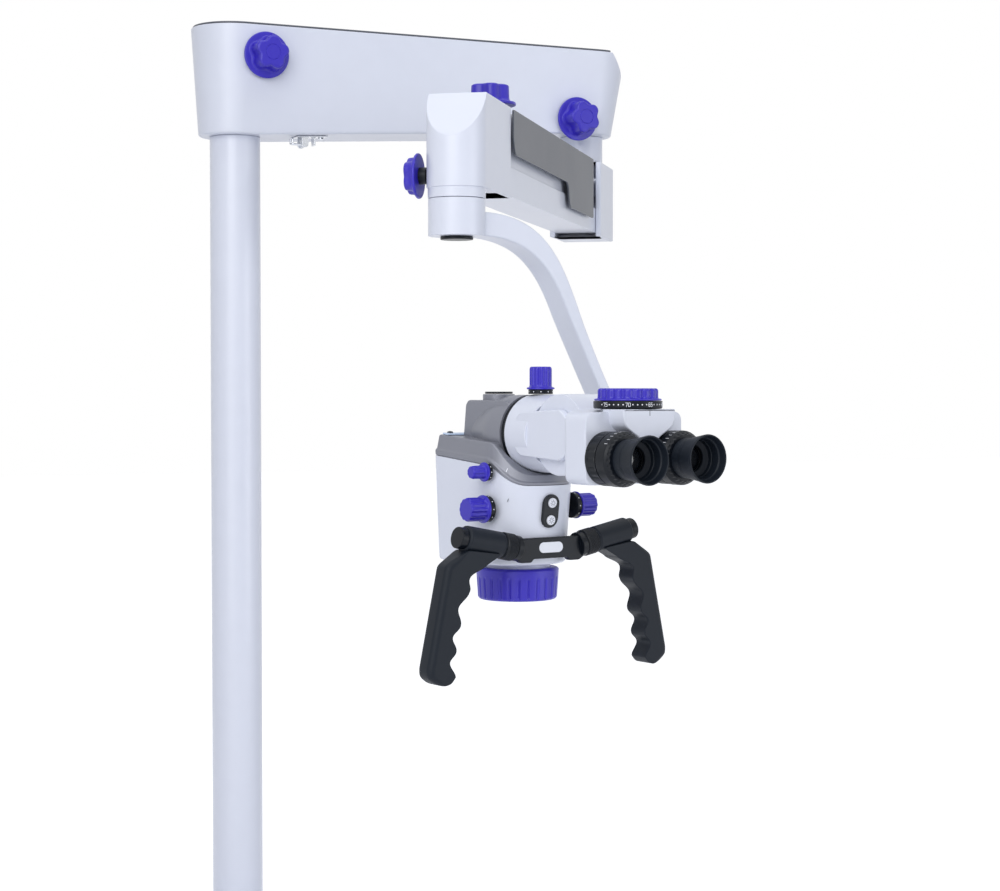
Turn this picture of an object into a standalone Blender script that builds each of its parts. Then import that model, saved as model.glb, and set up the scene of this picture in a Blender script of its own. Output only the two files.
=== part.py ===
"""Operating microscope carried by a column, an extension arm, a spring arm and a drop arm.

The origin lies on the column's axis at the underside of its mounting flange. +Z is up and +X runs
along the extension arm. Each joint has an empty on its axis, and the pieces that turn or slide with
the joint hang from it. Every piece is modelled in the coordinates of the group it belongs to:
the column's, the spring arm's (x runs from the elbow to the hub), the hub's or the microscope head's
(x runs towards the operator, y to the operator's right, and the objective's axis is x = y = 0).
"""

import math

import bmesh
import bpy
from mathutils import Vector

MM = 0.001
GAP = 0.3 * MM
TURN = math.tau

# Stand
FLANGE_RADIUS = 110 * MM
FLANGE_THICK = 12 * MM
SOCKET_RADIUS = 39 * MM
SOCKET_HEIGHT = 36 * MM
BOLT_CIRCLE = 180 * MM
BOLT_HOLE = 11 * MM
BOLT_COUNT = 4
COLUMN_RADIUS = 29 * MM
COLUMN_WALL = 3.5 * MM
COLUMN_TOP = 936.7 * MM
JOURNAL_RADIUS = 20 * MM
JOURNAL_PLUG = 70 * MM

# Extension arm
ARM_REACH = 450 * MM
ARM_BOTTOM = COLUMN_TOP + GAP
ARM_BOTTOM_RISE = 22 * MM
ARM_RISE_START = 20 * MM
ARM_RISE_END = 420 * MM
ARM_TOP = 1060.5 * MM
ARM_TOP_HALF = 50 * MM
ARM_BOTTOM_HALF = 42 * MM
ARM_TIP_TOP = 55.5 * MM
ARM_TIP_BOTTOM = 35 * MM
ARM_WALL = 4 * MM
ARM_BOSS_TOP = 1036 * MM
COVER_INSET = 2 * MM
COVER_THICK = 2.2 * MM
SCREW_RADIUS = 5 * MM
SCREW_TIP = 19 * MM
COLUMN_KNOB = (22 * MM, 1026 * MM)
ELBOW_KNOB = (421 * MM, 976 * MM)
COLUMN_BOSS_RADIUS = 30 * MM
ELBOW_BOSS_RADIUS = 33 * MM
KNOB_FLANGE = 26.5 * MM
KNOB_BODY = 21.5 * MM
KNOB_COLLAR = 9.7 * MM
KNOB_HEIGHT = 28 * MM
LATCH_X = 76 * MM
LATCH_Y = -20 * MM
LATCH_Z = 930.3 * MM
LATCH_HALF = 9 * MM

# Elbow and spring arm, with x measured from the elbow's axis
SPRING_ARM_ANGLE = -127.4
HUB_REACH = 643 * MM
SPINDLE_RADIUS = 26.5 * MM
SPINDLE_JOURNAL = 15 * MM
YOKE_LOW = 833 * MM
YOKE_HIGH = 925 * MM
YOKE_HALF = 32 * MM
YOKE_REAR = -52 * MM
YOKE_FRONT = 40 * MM
YOKE_WEB = 3.5 * MM
YOKE_WEB_FRONT = 18 * MM
REAR_PIVOT = 26 * MM
FRONT_PIVOT = HUB_REACH - 75 * MM
UPPER_PIVOT_Z = 903 * MM
LOWER_PIVOT_Z = 860 * MM
PIN_RADIUS = 5 * MM
UPPER_EYE = 20 * MM
UPPER_HALF = 22.2 * MM
UPPER_WALL = 3 * MM
UPPER_SKIRT_Z = 850 * MM
SKIRT_START = 34 * MM
LOWER_EYE = 22 * MM
LOWER_HALF = 25 * MM
LOWER_WALL = 2.4 * MM
LOWER_TOP_Z = 868 * MM
SLOT_HALF = LOWER_HALF + GAP
PLATE_THICK = 2 * MM
PLATE_FRONT = HUB_REACH - 111 * MM
PLATE_REAR = HUB_REACH - 560 * MM
PLATE_LEG = HUB_REACH - 400 * MM
PLATE_LOW_Z = 879 * MM
PLATE_LEG_Z = 852 * MM
PLATE_SPACER = 4.5 * MM
SPRING_RADIUS = 13 * MM
SPRING_ROD = 4 * MM

# Head block and swivel, with x measured from the hub's axis
BLOCK_LOW = 835 * MM
BLOCK_HIGH = 925 * MM
BLOCK_RADIUS = 28.5 * MM
BLOCK_REAR = -108 * MM
BLOCK_SLOT = -52 * MM
SWIVEL_RADIUS = 12 * MM
SWIVEL_TOP = 885 * MM
COLLAR_RADIUS = 27.3 * MM
HUB_RADIUS = 27 * MM
HUB_TOP = 825 * MM
HUB_BOTTOM = 790 * MM
HUB_CAP_RADIUS = 15.5 * MM
HUB_CAP_THICK = 3 * MM

# Drop arm, with the head's forward direction at HEAD_ANGLE in plan
HEAD_ANGLE = -78.1
HUB_FORWARD = -66 * MM
HUB_RIGHT = -22 * MM
DROP_WIDTH = 29 * MM
TILT_FORWARD = -52 * MM
TILT_Z = 578 * MM
TILT_SHAFT = 12 * MM
TILT_FLANGE = 18 * MM
TILT_FLANGE_THICK = 4 * MM
BOSS_RADIUS = 25 * MM
BOSS_INNER = 160 * MM
BOSS_OUTER = 206 * MM

# Microscope body, with x forward and y to the right of the objective's axis
BODY_BOTTOM = 486 * MM
BODY_HALF_TOP = 47 * MM
BODY_HALF_BOTTOM = 43.5 * MM
BODY_REAR_TOP = -70 * MM
BODY_REAR_BOTTOM = -67 * MM
BODY_NOSE_TOP = 52.5 * MM
BODY_NOSE_BOTTOM = 41 * MM
BODY_NOSE_CENTRE = 8 * MM
BODY_CORNER = 9 * MM
BODY_RIM = 604 * MM
SEAM_REAR = 584.3 * MM
SEAM_MIDDLE = 577.5 * MM
SEAM_FRONT = 559 * MM
RIM_MIDDLE = 598 * MM
RIM_FRONT = 568.6 * MM
NECK_RADIUS = 30 * MM
NECK_BOTTOM = 460 * MM
LENS_RADIUS = 25 * MM
LENS_THICK = 6 * MM
FOCUS_TOP = 482 * MM
FOCUS_BOTTOM = 452.5 * MM
FOCUS_RADIUS_TOP = 38.5 * MM
FOCUS_RADIUS_BOTTOM = 36.5 * MM
FOCUS_RIBS = 22
TOP_PLATE_Z = BODY_RIM + GAP
TOP_PLATE_THICK = 1.6 * MM

# Turret, tube and binocular
TUBE_Z = 606 * MM
TURRET_RADIUS = 35 * MM
TURRET_REAR = -50 * MM
TURRET_FRONT = 19.5 * MM
TURRET_TOP = 636 * MM
PORT_CENTRE = -29 * MM
PORT_RADIUS = 15 * MM
PORT_TOP = 641.5 * MM
PORT_CAP_RADIUS = 13 * MM
PORT_CAP_THICK = 2 * MM
RING_RADIUS = 33.5 * MM
RING_LENGTH = 6 * MM
TUBE_RADIUS = 35.5 * MM
TUBE_START = TURRET_FRONT + RING_LENGTH + 2 * GAP
TUBE_END = 70 * MM
DRUM_CENTRE = 95 * MM
DRUM_RADIUS = 36 * MM
DRUM_HALF = 26 * MM
DRUM_GAP = 0.6 * MM
CHEEK_INNER = DRUM_HALF + GAP
CHEEK_OUTER = 33.5 * MM
CHEEK_RADIUS = 24 * MM
TRUNNION_RADIUS = 6 * MM
HOUSING_REAR = 125 * MM
HOUSING_FRONT = 167 * MM
HOUSING_HALF = 54 * MM
HOUSING_LOW = 565 * MM
HOUSING_HIGH = 627 * MM
DIAL_CENTRE = 158 * MM
DIAL_PAD_RADIUS = 27 * MM
DIAL_PAD_LOW = 612.5 * MM
DIAL_PAD_TOP = 629.4 * MM
DIAL_RADIUS = 29.8 * MM
DIAL_THICK = 6.6 * MM
PD_KNOB_RADIUS = 26.3 * MM
PD_KNOB_HEIGHT = 10.6 * MM
PD_KNOB_LOBES = 18
EYE_SPACING = 65 * MM
EYE_Z = 587.5 * MM
BARREL_RADIUS = 20 * MM
BARREL_LENGTH = 14 * MM
DIOPTER_RADIUS = 23.5 * MM
DIOPTER_LENGTH = 16 * MM
DIOPTER_RIBS = 14
EYEPIECE_CORE = 15 * MM
EYECUP_NECK = 17.5 * MM
EYECUP_RIM = 21 * MM
EYECUP_LENGTH = 28 * MM
OCULAR_RADIUS = 11 * MM

# Controls
TUBE_LOCK = (35 * MM, TUBE_Z + TUBE_RADIUS)
ZOOM_PLACE = (19 * MM, 538 * MM)
APERTURE_PLACE = (19 * MM, 571.5 * MM)
CONTROL_SEAT = 47.4 * MM
PANEL_Z = 536 * MM
PANEL_SEAT = 47.6 * MM
PANEL_LEAN = 8.6
PANEL_WIDTH = 18 * MM
PANEL_HEIGHT = 31 * MM
PANEL_THICK = 3.4 * MM
BUTTON_RADIUS = 4.5 * MM
BUTTON_SPACING = 16 * MM
BUTTON_PROUD = 1.6 * MM
BUTTON_TRAVEL = 1 * MM

# Handles
BAR_BACK = 44.3 * MM
BAR_FRONT = 50.6 * MM
BAR_HALF = 38 * MM
BAR_LOW = 493 * MM
BAR_HIGH = 512 * MM
HANDLE_FORWARD = 45 * MM
HANDLE_START = 36 * MM
HANDLE_Z = 503.5 * MM
HANDLE_RISE = 11
BRACKET_BOSS = 11.5 * MM
BRACKET_BOSS_LENGTH = 4 * MM
HANDLE_ROD = 6 * MM
LOCK_RING_RADIUS = 12.3 * MM
LOCK_RING_LENGTH = 12.7 * MM
SLEEVE_RADIUS = 12 * MM
SLEEVE_END = 58.5 * MM
END_CAP_RADIUS = 9.75 * MM
END_CAP_LENGTH = 7 * MM
GRIP_HALF = 10.5 * MM

WHITE = ("painted_white", (0.80, 0.82, 0.88), 0.35, 0.0)
BLUE = ("blue_knob", (0.03, 0.02, 0.45), 0.35, 0.0)
DARK_GREY = ("dark_grey_plate", (0.06, 0.065, 0.08), 0.5, 0.0)
SHELL_GREY = ("grey_shell", (0.14, 0.145, 0.17), 0.4, 0.0)
PALE_BLUE = ("pale_blue_plate", (0.55, 0.68, 0.88), 0.3, 0.0)
BLACK = ("black_fitting", (0.012, 0.014, 0.02), 0.45, 0.0)
RUBBER = ("black_rubber", (0.01, 0.012, 0.018), 0.7, 0.0)
STEEL = ("bright_steel", (0.6, 0.62, 0.65), 0.3, 1.0)
GLASS = ("lens_glass", (0.35, 0.42, 0.5), 0.05, 0.0)
BUTTON_WHITE = ("button_white", (0.75, 0.76, 0.8), 0.4, 0.0)


class Frame:
    """An empty on a joint's axis, and the offset from it to its group's origin."""

    def __init__(self, name, parent=None, at=(0, 0, 0), turn=(0, 0, 0), fresh=False):
        at = Vector(at)
        self.empty = bpy.data.objects.new(name, None)
        bpy.context.scene.collection.objects.link(self.empty)
        self.empty.empty_display_size = 20 * MM
        self.empty.rotation_euler = [math.radians(angle) for angle in turn]
        self.empty.location = at
        if parent:
            self.empty.parent = parent.empty
            self.empty.location = at + parent.shift
        keeps_group = not fresh and not any(turn)
        self.shift = -at if keeps_group else Vector((0, 0, 0))


def clear_scene():
    """Removes every object that the scene opens with."""
    for item in list(bpy.data.objects):
        bpy.data.objects.remove(item)


def finish(paint):
    """The named Principled material, made once."""
    name, colour, roughness, metallic = paint
    found = bpy.data.materials.get(name)
    if found:
        return found
    made = bpy.data.materials.new(name)
    made.use_nodes = True
    shader = made.node_tree.nodes["Principled BSDF"]
    shader.inputs["Base Color"].default_value = (*colour, 1.0)
    shader.inputs["Roughness"].default_value = roughness
    shader.inputs["Metallic"].default_value = metallic
    return made


def piece(name, shape, paint, frame, at=(0, 0, 0), turn=(0, 0, 0)):
    """Makes an object from a bmesh and hangs it from a frame, in its group's coordinates."""
    bmesh.ops.recalc_face_normals(shape, faces=shape.faces)
    mesh = bpy.data.meshes.new(name)
    shape.to_mesh(mesh)
    shape.free()
    mesh.shade_smooth()
    mesh.set_sharp_from_angle(angle=math.radians(32))
    made = bpy.data.objects.new(name, mesh)
    bpy.context.scene.collection.objects.link(made)
    made.parent = frame.empty
    made.location = Vector(at) + frame.shift
    made.rotation_euler = [math.radians(angle) for angle in turn]
    if paint:
        mesh.materials.append(finish(paint))
    return made


def tool(name, shape, frame, at=(0, 0, 0), turn=(0, 0, 0)):
    """A hidden cutter or addition for a Boolean."""
    made = piece(name, shape, None, frame, at, turn)
    made.hide_render = True
    made.display_type = "WIRE"
    return made


def combine(target, other, operation="DIFFERENCE"):
    """Adds a Boolean modifier that cuts or joins the other object."""
    step = target.modifiers.new(other.name, "BOOLEAN")
    step.operation = operation
    step.object = other


def soften(target, width, segments=1, angle=50):
    """Adds a Bevel modifier to the edges sharper than the angle."""
    step = target.modifiers.new("edges", "BEVEL")
    step.width = width
    step.segments = segments
    step.limit_method = "ANGLE"
    step.angle_limit = math.radians(angle)


def turned(profile, sides=20, hollow=False):
    """Spins a profile of (radius, height) points about Z. A hollow profile is a closed outline."""
    shape = bmesh.new()
    points = [shape.verts.new((radius, 0, height)) for radius, height in profile]
    edges = [shape.edges.new(pair) for pair in zip(points, points[1:])]
    if hollow:
        edges.append(shape.edges.new((points[-1], points[0])))
    bmesh.ops.spin(
        shape, geom=points + edges, cent=(0, 0, 0), axis=(0, 0, 1), angle=TURN, steps=sides, use_merge=True
    )
    bmesh.ops.remove_doubles(shape, verts=shape.verts, dist=1e-6)
    return shape


def cylinder(radius, low, high, sides=20):
    """A plain cylinder about Z."""
    return turned([(0, low), (radius, low), (radius, high), (0, high)], sides)


def tube(outer, inner, low, high, sides=20):
    """A pipe about Z."""
    return turned([(outer, low), (outer, high), (inner, high), (inner, low)], sides, hollow=True)


def box(low, high):
    """A box between two corners."""
    shape = bmesh.new()
    bmesh.ops.create_cube(shape, size=1)
    low, high = Vector(low), Vector(high)
    for point in shape.verts:
        point.co = [(a + b) / 2 + (b - a) * share for a, b, share in zip(low, high, point.co)]
    return shape


def prism(outline, low, high, plane="XY"):
    """Extrudes a closed outline between two levels. Plane XZ extrudes along Y, and YZ along X."""
    places = {
        "XY": lambda a, b, c: (a, b, c),
        "XZ": lambda a, b, c: (a, c, b),
        "YZ": lambda a, b, c: (c, a, b),
    }
    place = places[plane]
    shape = bmesh.new()
    face = shape.faces.new([shape.verts.new(place(a, b, low)) for a, b in outline])
    grown = bmesh.ops.extrude_face_region(shape, geom=[face])
    moved = [item for item in grown["geom"] if isinstance(item, bmesh.types.BMVert)]
    shift = Vector(place(0, 0, high - low))
    bmesh.ops.translate(shape, verts=moved, vec=shift)
    return shape


def skinned(rings, across=False):
    """Joins rings of equal counts into one skin. Caps run across mirrored points, or are one face."""
    shape = bmesh.new()
    loops = [[shape.verts.new(point) for point in ring] for ring in rings]
    count = len(loops[0])
    for low, high in zip(loops, loops[1:]):
        for i in range(count):
            j = (i + 1) % count
            shape.faces.new((low[i], low[j], high[j], high[i]))
    for loop in (loops[0], loops[-1]):
        if not across:
            shape.faces.new(loop)
            continue
        for i in range(count // 2 - 1):
            shape.faces.new((loop[i], loop[i + 1], loop[-2 - i], loop[-1 - i]))
    return shape


def lobed(stations, lobes, points_per_lobe=4, crest=1.0):
    """A solid about Z whose rings (height, radius, groove depth) wave in and out once for each lobe."""
    count = lobes * points_per_lobe
    rings = []
    for height, radius, depth in stations:
        ring = []
        for i in range(count):
            angle = TURN * i / count
            wave = (0.5 - 0.5 * math.cos(lobes * angle)) ** crest
            reach = radius - depth * wave
            ring.append((reach * math.cos(angle), reach * math.sin(angle), height))
        rings.append(ring)
    return skinned(rings)


def arc(centre_a, centre_b, radius, start, end, steps):
    """Points on a circular arc from start to end, in degrees."""
    points = []
    for i in range(steps + 1):
        angle = math.radians(start + (end - start) * i / steps)
        points.append((centre_a + radius * math.cos(angle), centre_b + radius * math.sin(angle)))
    return points


def blend(value, start, end):
    """A smooth step from 0 at start to 1 at end."""
    share = min(max((value - start) / (end - start), 0.0), 1.0)
    return share * share * (3 - 2 * share)


def mix(low, high, share):
    """A value part of the way from low to high."""
    return low + (high - low) * share


def star_knob(name, frame, screw_in, stand_off, flange, body, height, lobes=5):
    """A lobed lock knob on its screw. The frame's Z points out of the face that the knob stands on."""
    groove = body * 0.17
    thick = 5 * MM if flange > 22 * MM else 3 * MM
    base = stand_off + thick
    top = stand_off + height
    stations = [(-screw_in, SCREW_RADIUS, 0), (GAP, SCREW_RADIUS, 0)]
    if stand_off > GAP:
        stations += [(GAP, body * 0.45, 0), (stand_off, body * 0.45, 0)]
    stations += [
        (stand_off, flange, 0),
        (base, flange, 0),
        (base, body, groove),
        (top - 3 * MM, body, groove),
        (top, body - 3 * MM, groove * 0.8),
    ]
    return piece(name, lobed(stations, lobes), BLUE, frame)


def build_stand(ground):
    """Flange with its socket, and the column tube with the journal at its head."""
    spigot = COLUMN_RADIUS + GAP
    flange = piece(
        "mounting_flange",
        turned(
            [
                (0, 0),
                (FLANGE_RADIUS, 0),
                (FLANGE_RADIUS, FLANGE_THICK - 2 * MM),
                (FLANGE_RADIUS - 2 * MM, FLANGE_THICK),
                (SOCKET_RADIUS, FLANGE_THICK),
                (SOCKET_RADIUS, SOCKET_HEIGHT - 2 * MM),
                (SOCKET_RADIUS - 2 * MM, SOCKET_HEIGHT),
                (spigot, SOCKET_HEIGHT),
                (spigot, FLANGE_THICK),
                (0, FLANGE_THICK),
            ],
            32,
        ),
        WHITE,
        ground,
    )
    for i in range(BOLT_COUNT):
        angle = TURN * (i + 0.5) / BOLT_COUNT
        place = (BOLT_CIRCLE / 2 * math.cos(angle), BOLT_CIRCLE / 2 * math.sin(angle), 0)
        hole = cylinder(BOLT_HOLE / 2, -5 * MM, FLANGE_THICK + 5 * MM, 10)
        combine(flange, tool(f"bolt_hole_cutter_{i + 1}", hole, ground, place))
    bore = COLUMN_RADIUS - COLUMN_WALL
    foot = FLANGE_THICK + GAP
    profile = [(COLUMN_RADIUS, foot), (COLUMN_RADIUS, COLUMN_TOP), (JOURNAL_RADIUS, COLUMN_TOP)]
    profile += [(JOURNAL_RADIUS, ARM_BOSS_TOP - 3 * MM), (0, ARM_BOSS_TOP - 3 * MM)]
    profile += [(0, COLUMN_TOP - JOURNAL_PLUG), (bore, COLUMN_TOP - JOURNAL_PLUG), (bore, foot)]
    piece("column_tube", turned(profile, 32, hollow=True), WHITE, ground)


def arm_underside(x, lift=0.0):
    """Height of the extension arm's underside, which rises towards the elbow."""
    share = min(max((x - ARM_RISE_START) / (ARM_RISE_END - ARM_RISE_START), 0.0), 1.0)
    return ARM_BOTTOM + ARM_BOTTOM_RISE * share + lift


def arm_ring(share, inset, lift):
    """Plan outline of the arm a share of the way up its drafted sides, moved in by inset."""
    half = mix(ARM_BOTTOM_HALF, ARM_TOP_HALF, share) - inset
    tip = mix(ARM_TIP_BOTTOM, ARM_TIP_TOP, share) - inset
    side = arc(0, 0, half, 173, 90, 6) + [(ARM_RISE_START, half), (ARM_RISE_END, half)]
    side += [(ARM_REACH + tip * a, half * b) for a, b in arc(0, 0, 1, 90, 7, 6)]
    plan = [(x, -y) for x, y in side] + side[::-1]
    return [(x, y, mix(arm_underside(x, lift), ARM_TOP, share)) for x, y in plan]


def slice_tip(shape, inset=0.0):
    """Cuts the slanted plane off the top of the arm's far end."""
    top_edge = Vector((ARM_REACH + 38.5 * MM - inset, 0, ARM_TOP + 2.5 * MM))
    low_edge = Vector((ARM_REACH + ARM_TIP_TOP - inset, 0, ARM_TOP - 27.5 * MM))
    along = low_edge - top_edge
    normal = Vector((-along.z, 0, along.x))
    parts = shape.verts[:] + shape.edges[:] + shape.faces[:]
    cut = bmesh.ops.bisect_plane(shape, geom=parts, plane_co=top_edge, plane_no=normal, clear_outer=True)
    rim = [item for item in cut["geom_cut"] if isinstance(item, bmesh.types.BMEdge)]
    bmesh.ops.contextual_create(shape, geom=rim)
    return shape


def build_extension_arm(arm):
    """Hollow drafted casing with bearing bosses, its cover, and the transport latch below it."""
    rings = [arm_ring(0, 3 * MM, 0), arm_ring(0.03, 0, 0), arm_ring(1, 0, 0)]
    casing = piece("arm_shell", slice_tip(skinned(rings, across=True)), WHITE, arm)
    hollow_rings = [arm_ring(0, ARM_WALL + 1 * MM, ARM_WALL), arm_ring(1.08, ARM_WALL, 0)]
    cavity = tool("arm_cavity_cutter", slice_tip(skinned(hollow_rings, across=True), ARM_WALL), arm)
    for label, x, radius in (("column", 0, COLUMN_BOSS_RADIUS), ("elbow", ARM_REACH, ELBOW_BOSS_RADIUS)):
        boss = cylinder(radius, ARM_BOTTOM - 9 * MM, ARM_BOSS_TOP, 18)
        combine(cavity, tool(f"{label}_boss_form", boss, arm, (x, 0, 0)))
    combine(casing, cavity)
    bores = (("column", 0, JOURNAL_RADIUS), ("elbow", ARM_REACH, SPINDLE_JOURNAL))
    for label, x, radius in bores:
        bore = cylinder(radius + GAP, ARM_BOTTOM - 20 * MM, ARM_TOP + 20 * MM, 20)
        combine(casing, tool(f"{label}_bore_cutter", bore, arm, (x, 0, 0)))
    for label, (x, z) in (("column", COLUMN_KNOB), ("elbow", ELBOW_KNOB)):
        hole = cylinder(SCREW_RADIUS + GAP, SCREW_TIP - 1 * MM, 60 * MM, 10)
        combine(casing, tool(f"{label}_screw_cutter", hole, arm, (x, 0, z), (90, 0, 0)))
    lid = [(x, y, z + GAP) for x, y, z in arm_ring(1, COVER_INSET, 0)]
    lid_top = [(x, y, z + COVER_THICK) for x, y, z in lid]
    piece("arm_top_cover", slice_tip(skinned([lid, lid_top], across=True), 2 * GAP), DARK_GREY, arm)


def arm_knob(name, arm, place):
    """A star knob on the arm's drafted side, whose screw reaches a bearing boss."""
    x, z = place
    underside = arm_underside(x)
    draft = (ARM_TOP_HALF - ARM_BOTTOM_HALF) / (ARM_TOP - underside)
    face = ARM_BOTTOM_HALF + draft * (z - underside) + draft * KNOB_COLLAR
    frame = Frame(f"{name}_axis", arm, (x, -face, z), (90, 0, 0))
    star_knob(f"{name}_knob", frame, face - SCREW_TIP, 1.7 * MM, KNOB_FLANGE, KNOB_BODY, KNOB_HEIGHT)


def build_latch(arm, hasp):
    """Transport latch under the arm: a plate with two lugs, and the wire bail that swings between them."""
    start, end = 66 * MM, 104 * MM
    near, far = LATCH_Y - LATCH_HALF, LATCH_Y + LATCH_HALF
    thick = 1.5 * MM
    sheet = [(start, arm_underside(start) - GAP), (end, arm_underside(end) - GAP)]
    sheet += [(end, sheet[1][1] - thick), (start, sheet[0][1] - thick)]
    plate = piece("latch_plate", prism(sheet, near, far, "XZ"), STEEL, arm)
    top = arm_underside(LATCH_X) - GAP - thick / 2
    for label, y in (("near", near), ("far", far - 2.7 * MM)):
        form = box((LATCH_X - 4 * MM, y, LATCH_Z - 4 * MM), (LATCH_X + 4 * MM, y + 2.7 * MM, top))
        combine(plate, tool(f"{label}_lug", form, arm), "UNION")
    tab = box((88 * MM, LATCH_Y - 5 * MM, LATCH_Z - 1 * MM), (90 * MM, LATCH_Y + 5 * MM, top))
    combine(plate, tool("latch_tab", tab, arm), "UNION")
    knuckle = 2 * MM
    bore = cylinder(knuckle + GAP, 1.5 * MM - LATCH_HALF, LATCH_HALF - 1.5 * MM, 12)
    combine(plate, tool("knuckle_cutter", bore, hasp, turn=(90, 0, 0)))
    reach = LATCH_HALF - 1.8 * MM
    bail = piece("latch_bail", cylinder(knuckle, -reach, reach, 12), STEEL, hasp, turn=(90, 0, 0))
    wire = 1 * MM
    length, rise = 14 * MM, arm_underside(LATCH_X - 14 * MM) - LATCH_Z - GAP
    for label, y in (("near", -4 * MM), ("far", 4 * MM)):
        run = box((-length - wire, y - wire, -wire), (0, y + wire, wire))
        combine(bail, tool(f"{label}_bail_run", run, hasp), "UNION")
    back = box((-length - wire, -4.5 * MM, -wire / 2), (wire - length, 4.5 * MM, rise))
    combine(bail, tool("bail_back", back, hasp), "UNION")
    window = box((-length - 5 * MM, -3 * MM, wire), (5 * MM - length, 3 * MM, rise - 2 * wire))
    combine(bail, tool("bail_window_cutter", window, hasp))


def pivot_pin(holder, name, frame, place, reach):
    """A pivot pin across a slot, and the blind bores for its ends in the piece that holds it."""
    piece(name, cylinder(PIN_RADIUS, -reach, reach, 16), STEEL, frame, place, (-90, 0, 0))
    bore = cylinder(PIN_RADIUS + GAP, -reach - GAP, reach + GAP, 16)
    combine(holder, tool(f"{name}_cutter", bore, frame, place, (-90, 0, 0)))


def build_elbow(elbow):
    """Elbow spindle, rear yoke and the two rear pivot pins."""
    underside = arm_underside(ARM_REACH)
    piece(
        "elbow_spindle",
        turned(
            [
                (0, YOKE_HIGH + GAP),
                (SPINDLE_RADIUS, YOKE_HIGH + GAP),
                (SPINDLE_RADIUS, underside - GAP),
                (SPINDLE_JOURNAL, underside - GAP),
                (SPINDLE_JOURNAL, ARM_BOSS_TOP - 3 * MM),
                (0, ARM_BOSS_TOP - 3 * MM),
            ],
            24,
        ),
        WHITE,
        elbow,
    )
    yoke = piece(
        "rear_yoke",
        box((YOKE_REAR, -YOKE_HALF, YOKE_LOW), (YOKE_FRONT, YOKE_HALF, YOKE_HIGH)),
        WHITE,
        elbow,
    )
    soften(yoke, 2 * MM, 1)
    slot_rear = REAR_PIVOT - LOWER_EYE - 1 * MM
    web_top = YOKE_LOW + YOKE_WEB
    slot = box((slot_rear, -SLOT_HALF, web_top), (YOKE_FRONT + 5 * MM, SLOT_HALF, YOKE_HIGH + 5 * MM))
    combine(yoke, tool("yoke_slot_cutter", slot, elbow))
    relief = box(
        (YOKE_WEB_FRONT, -SLOT_HALF, YOKE_LOW - 5 * MM), (YOKE_FRONT + 5 * MM, SLOT_HALF, web_top + 5 * MM)
    )
    combine(yoke, tool("yoke_web_cutter", relief, elbow))
    reach = YOKE_HALF - 2 * MM
    for label, height in (("upper", UPPER_PIVOT_Z), ("lower", LOWER_PIVOT_Z)):
        pivot_pin(yoke, f"rear_{label}_pin", elbow, (REAR_PIVOT, 0, height), reach)


def pin_bores(target, frame, height, label):
    """Bores both ends of a link for its pivot pins."""
    for end, x in (("rear", REAR_PIVOT), ("front", FRONT_PIVOT)):
        bore = cylinder(PIN_RADIUS + GAP, -60 * MM, 60 * MM, 16)
        combine(target, tool(f"{label}_{end}_eye_cutter", bore, frame, (x, 0, height), (-90, 0, 0)))


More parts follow.
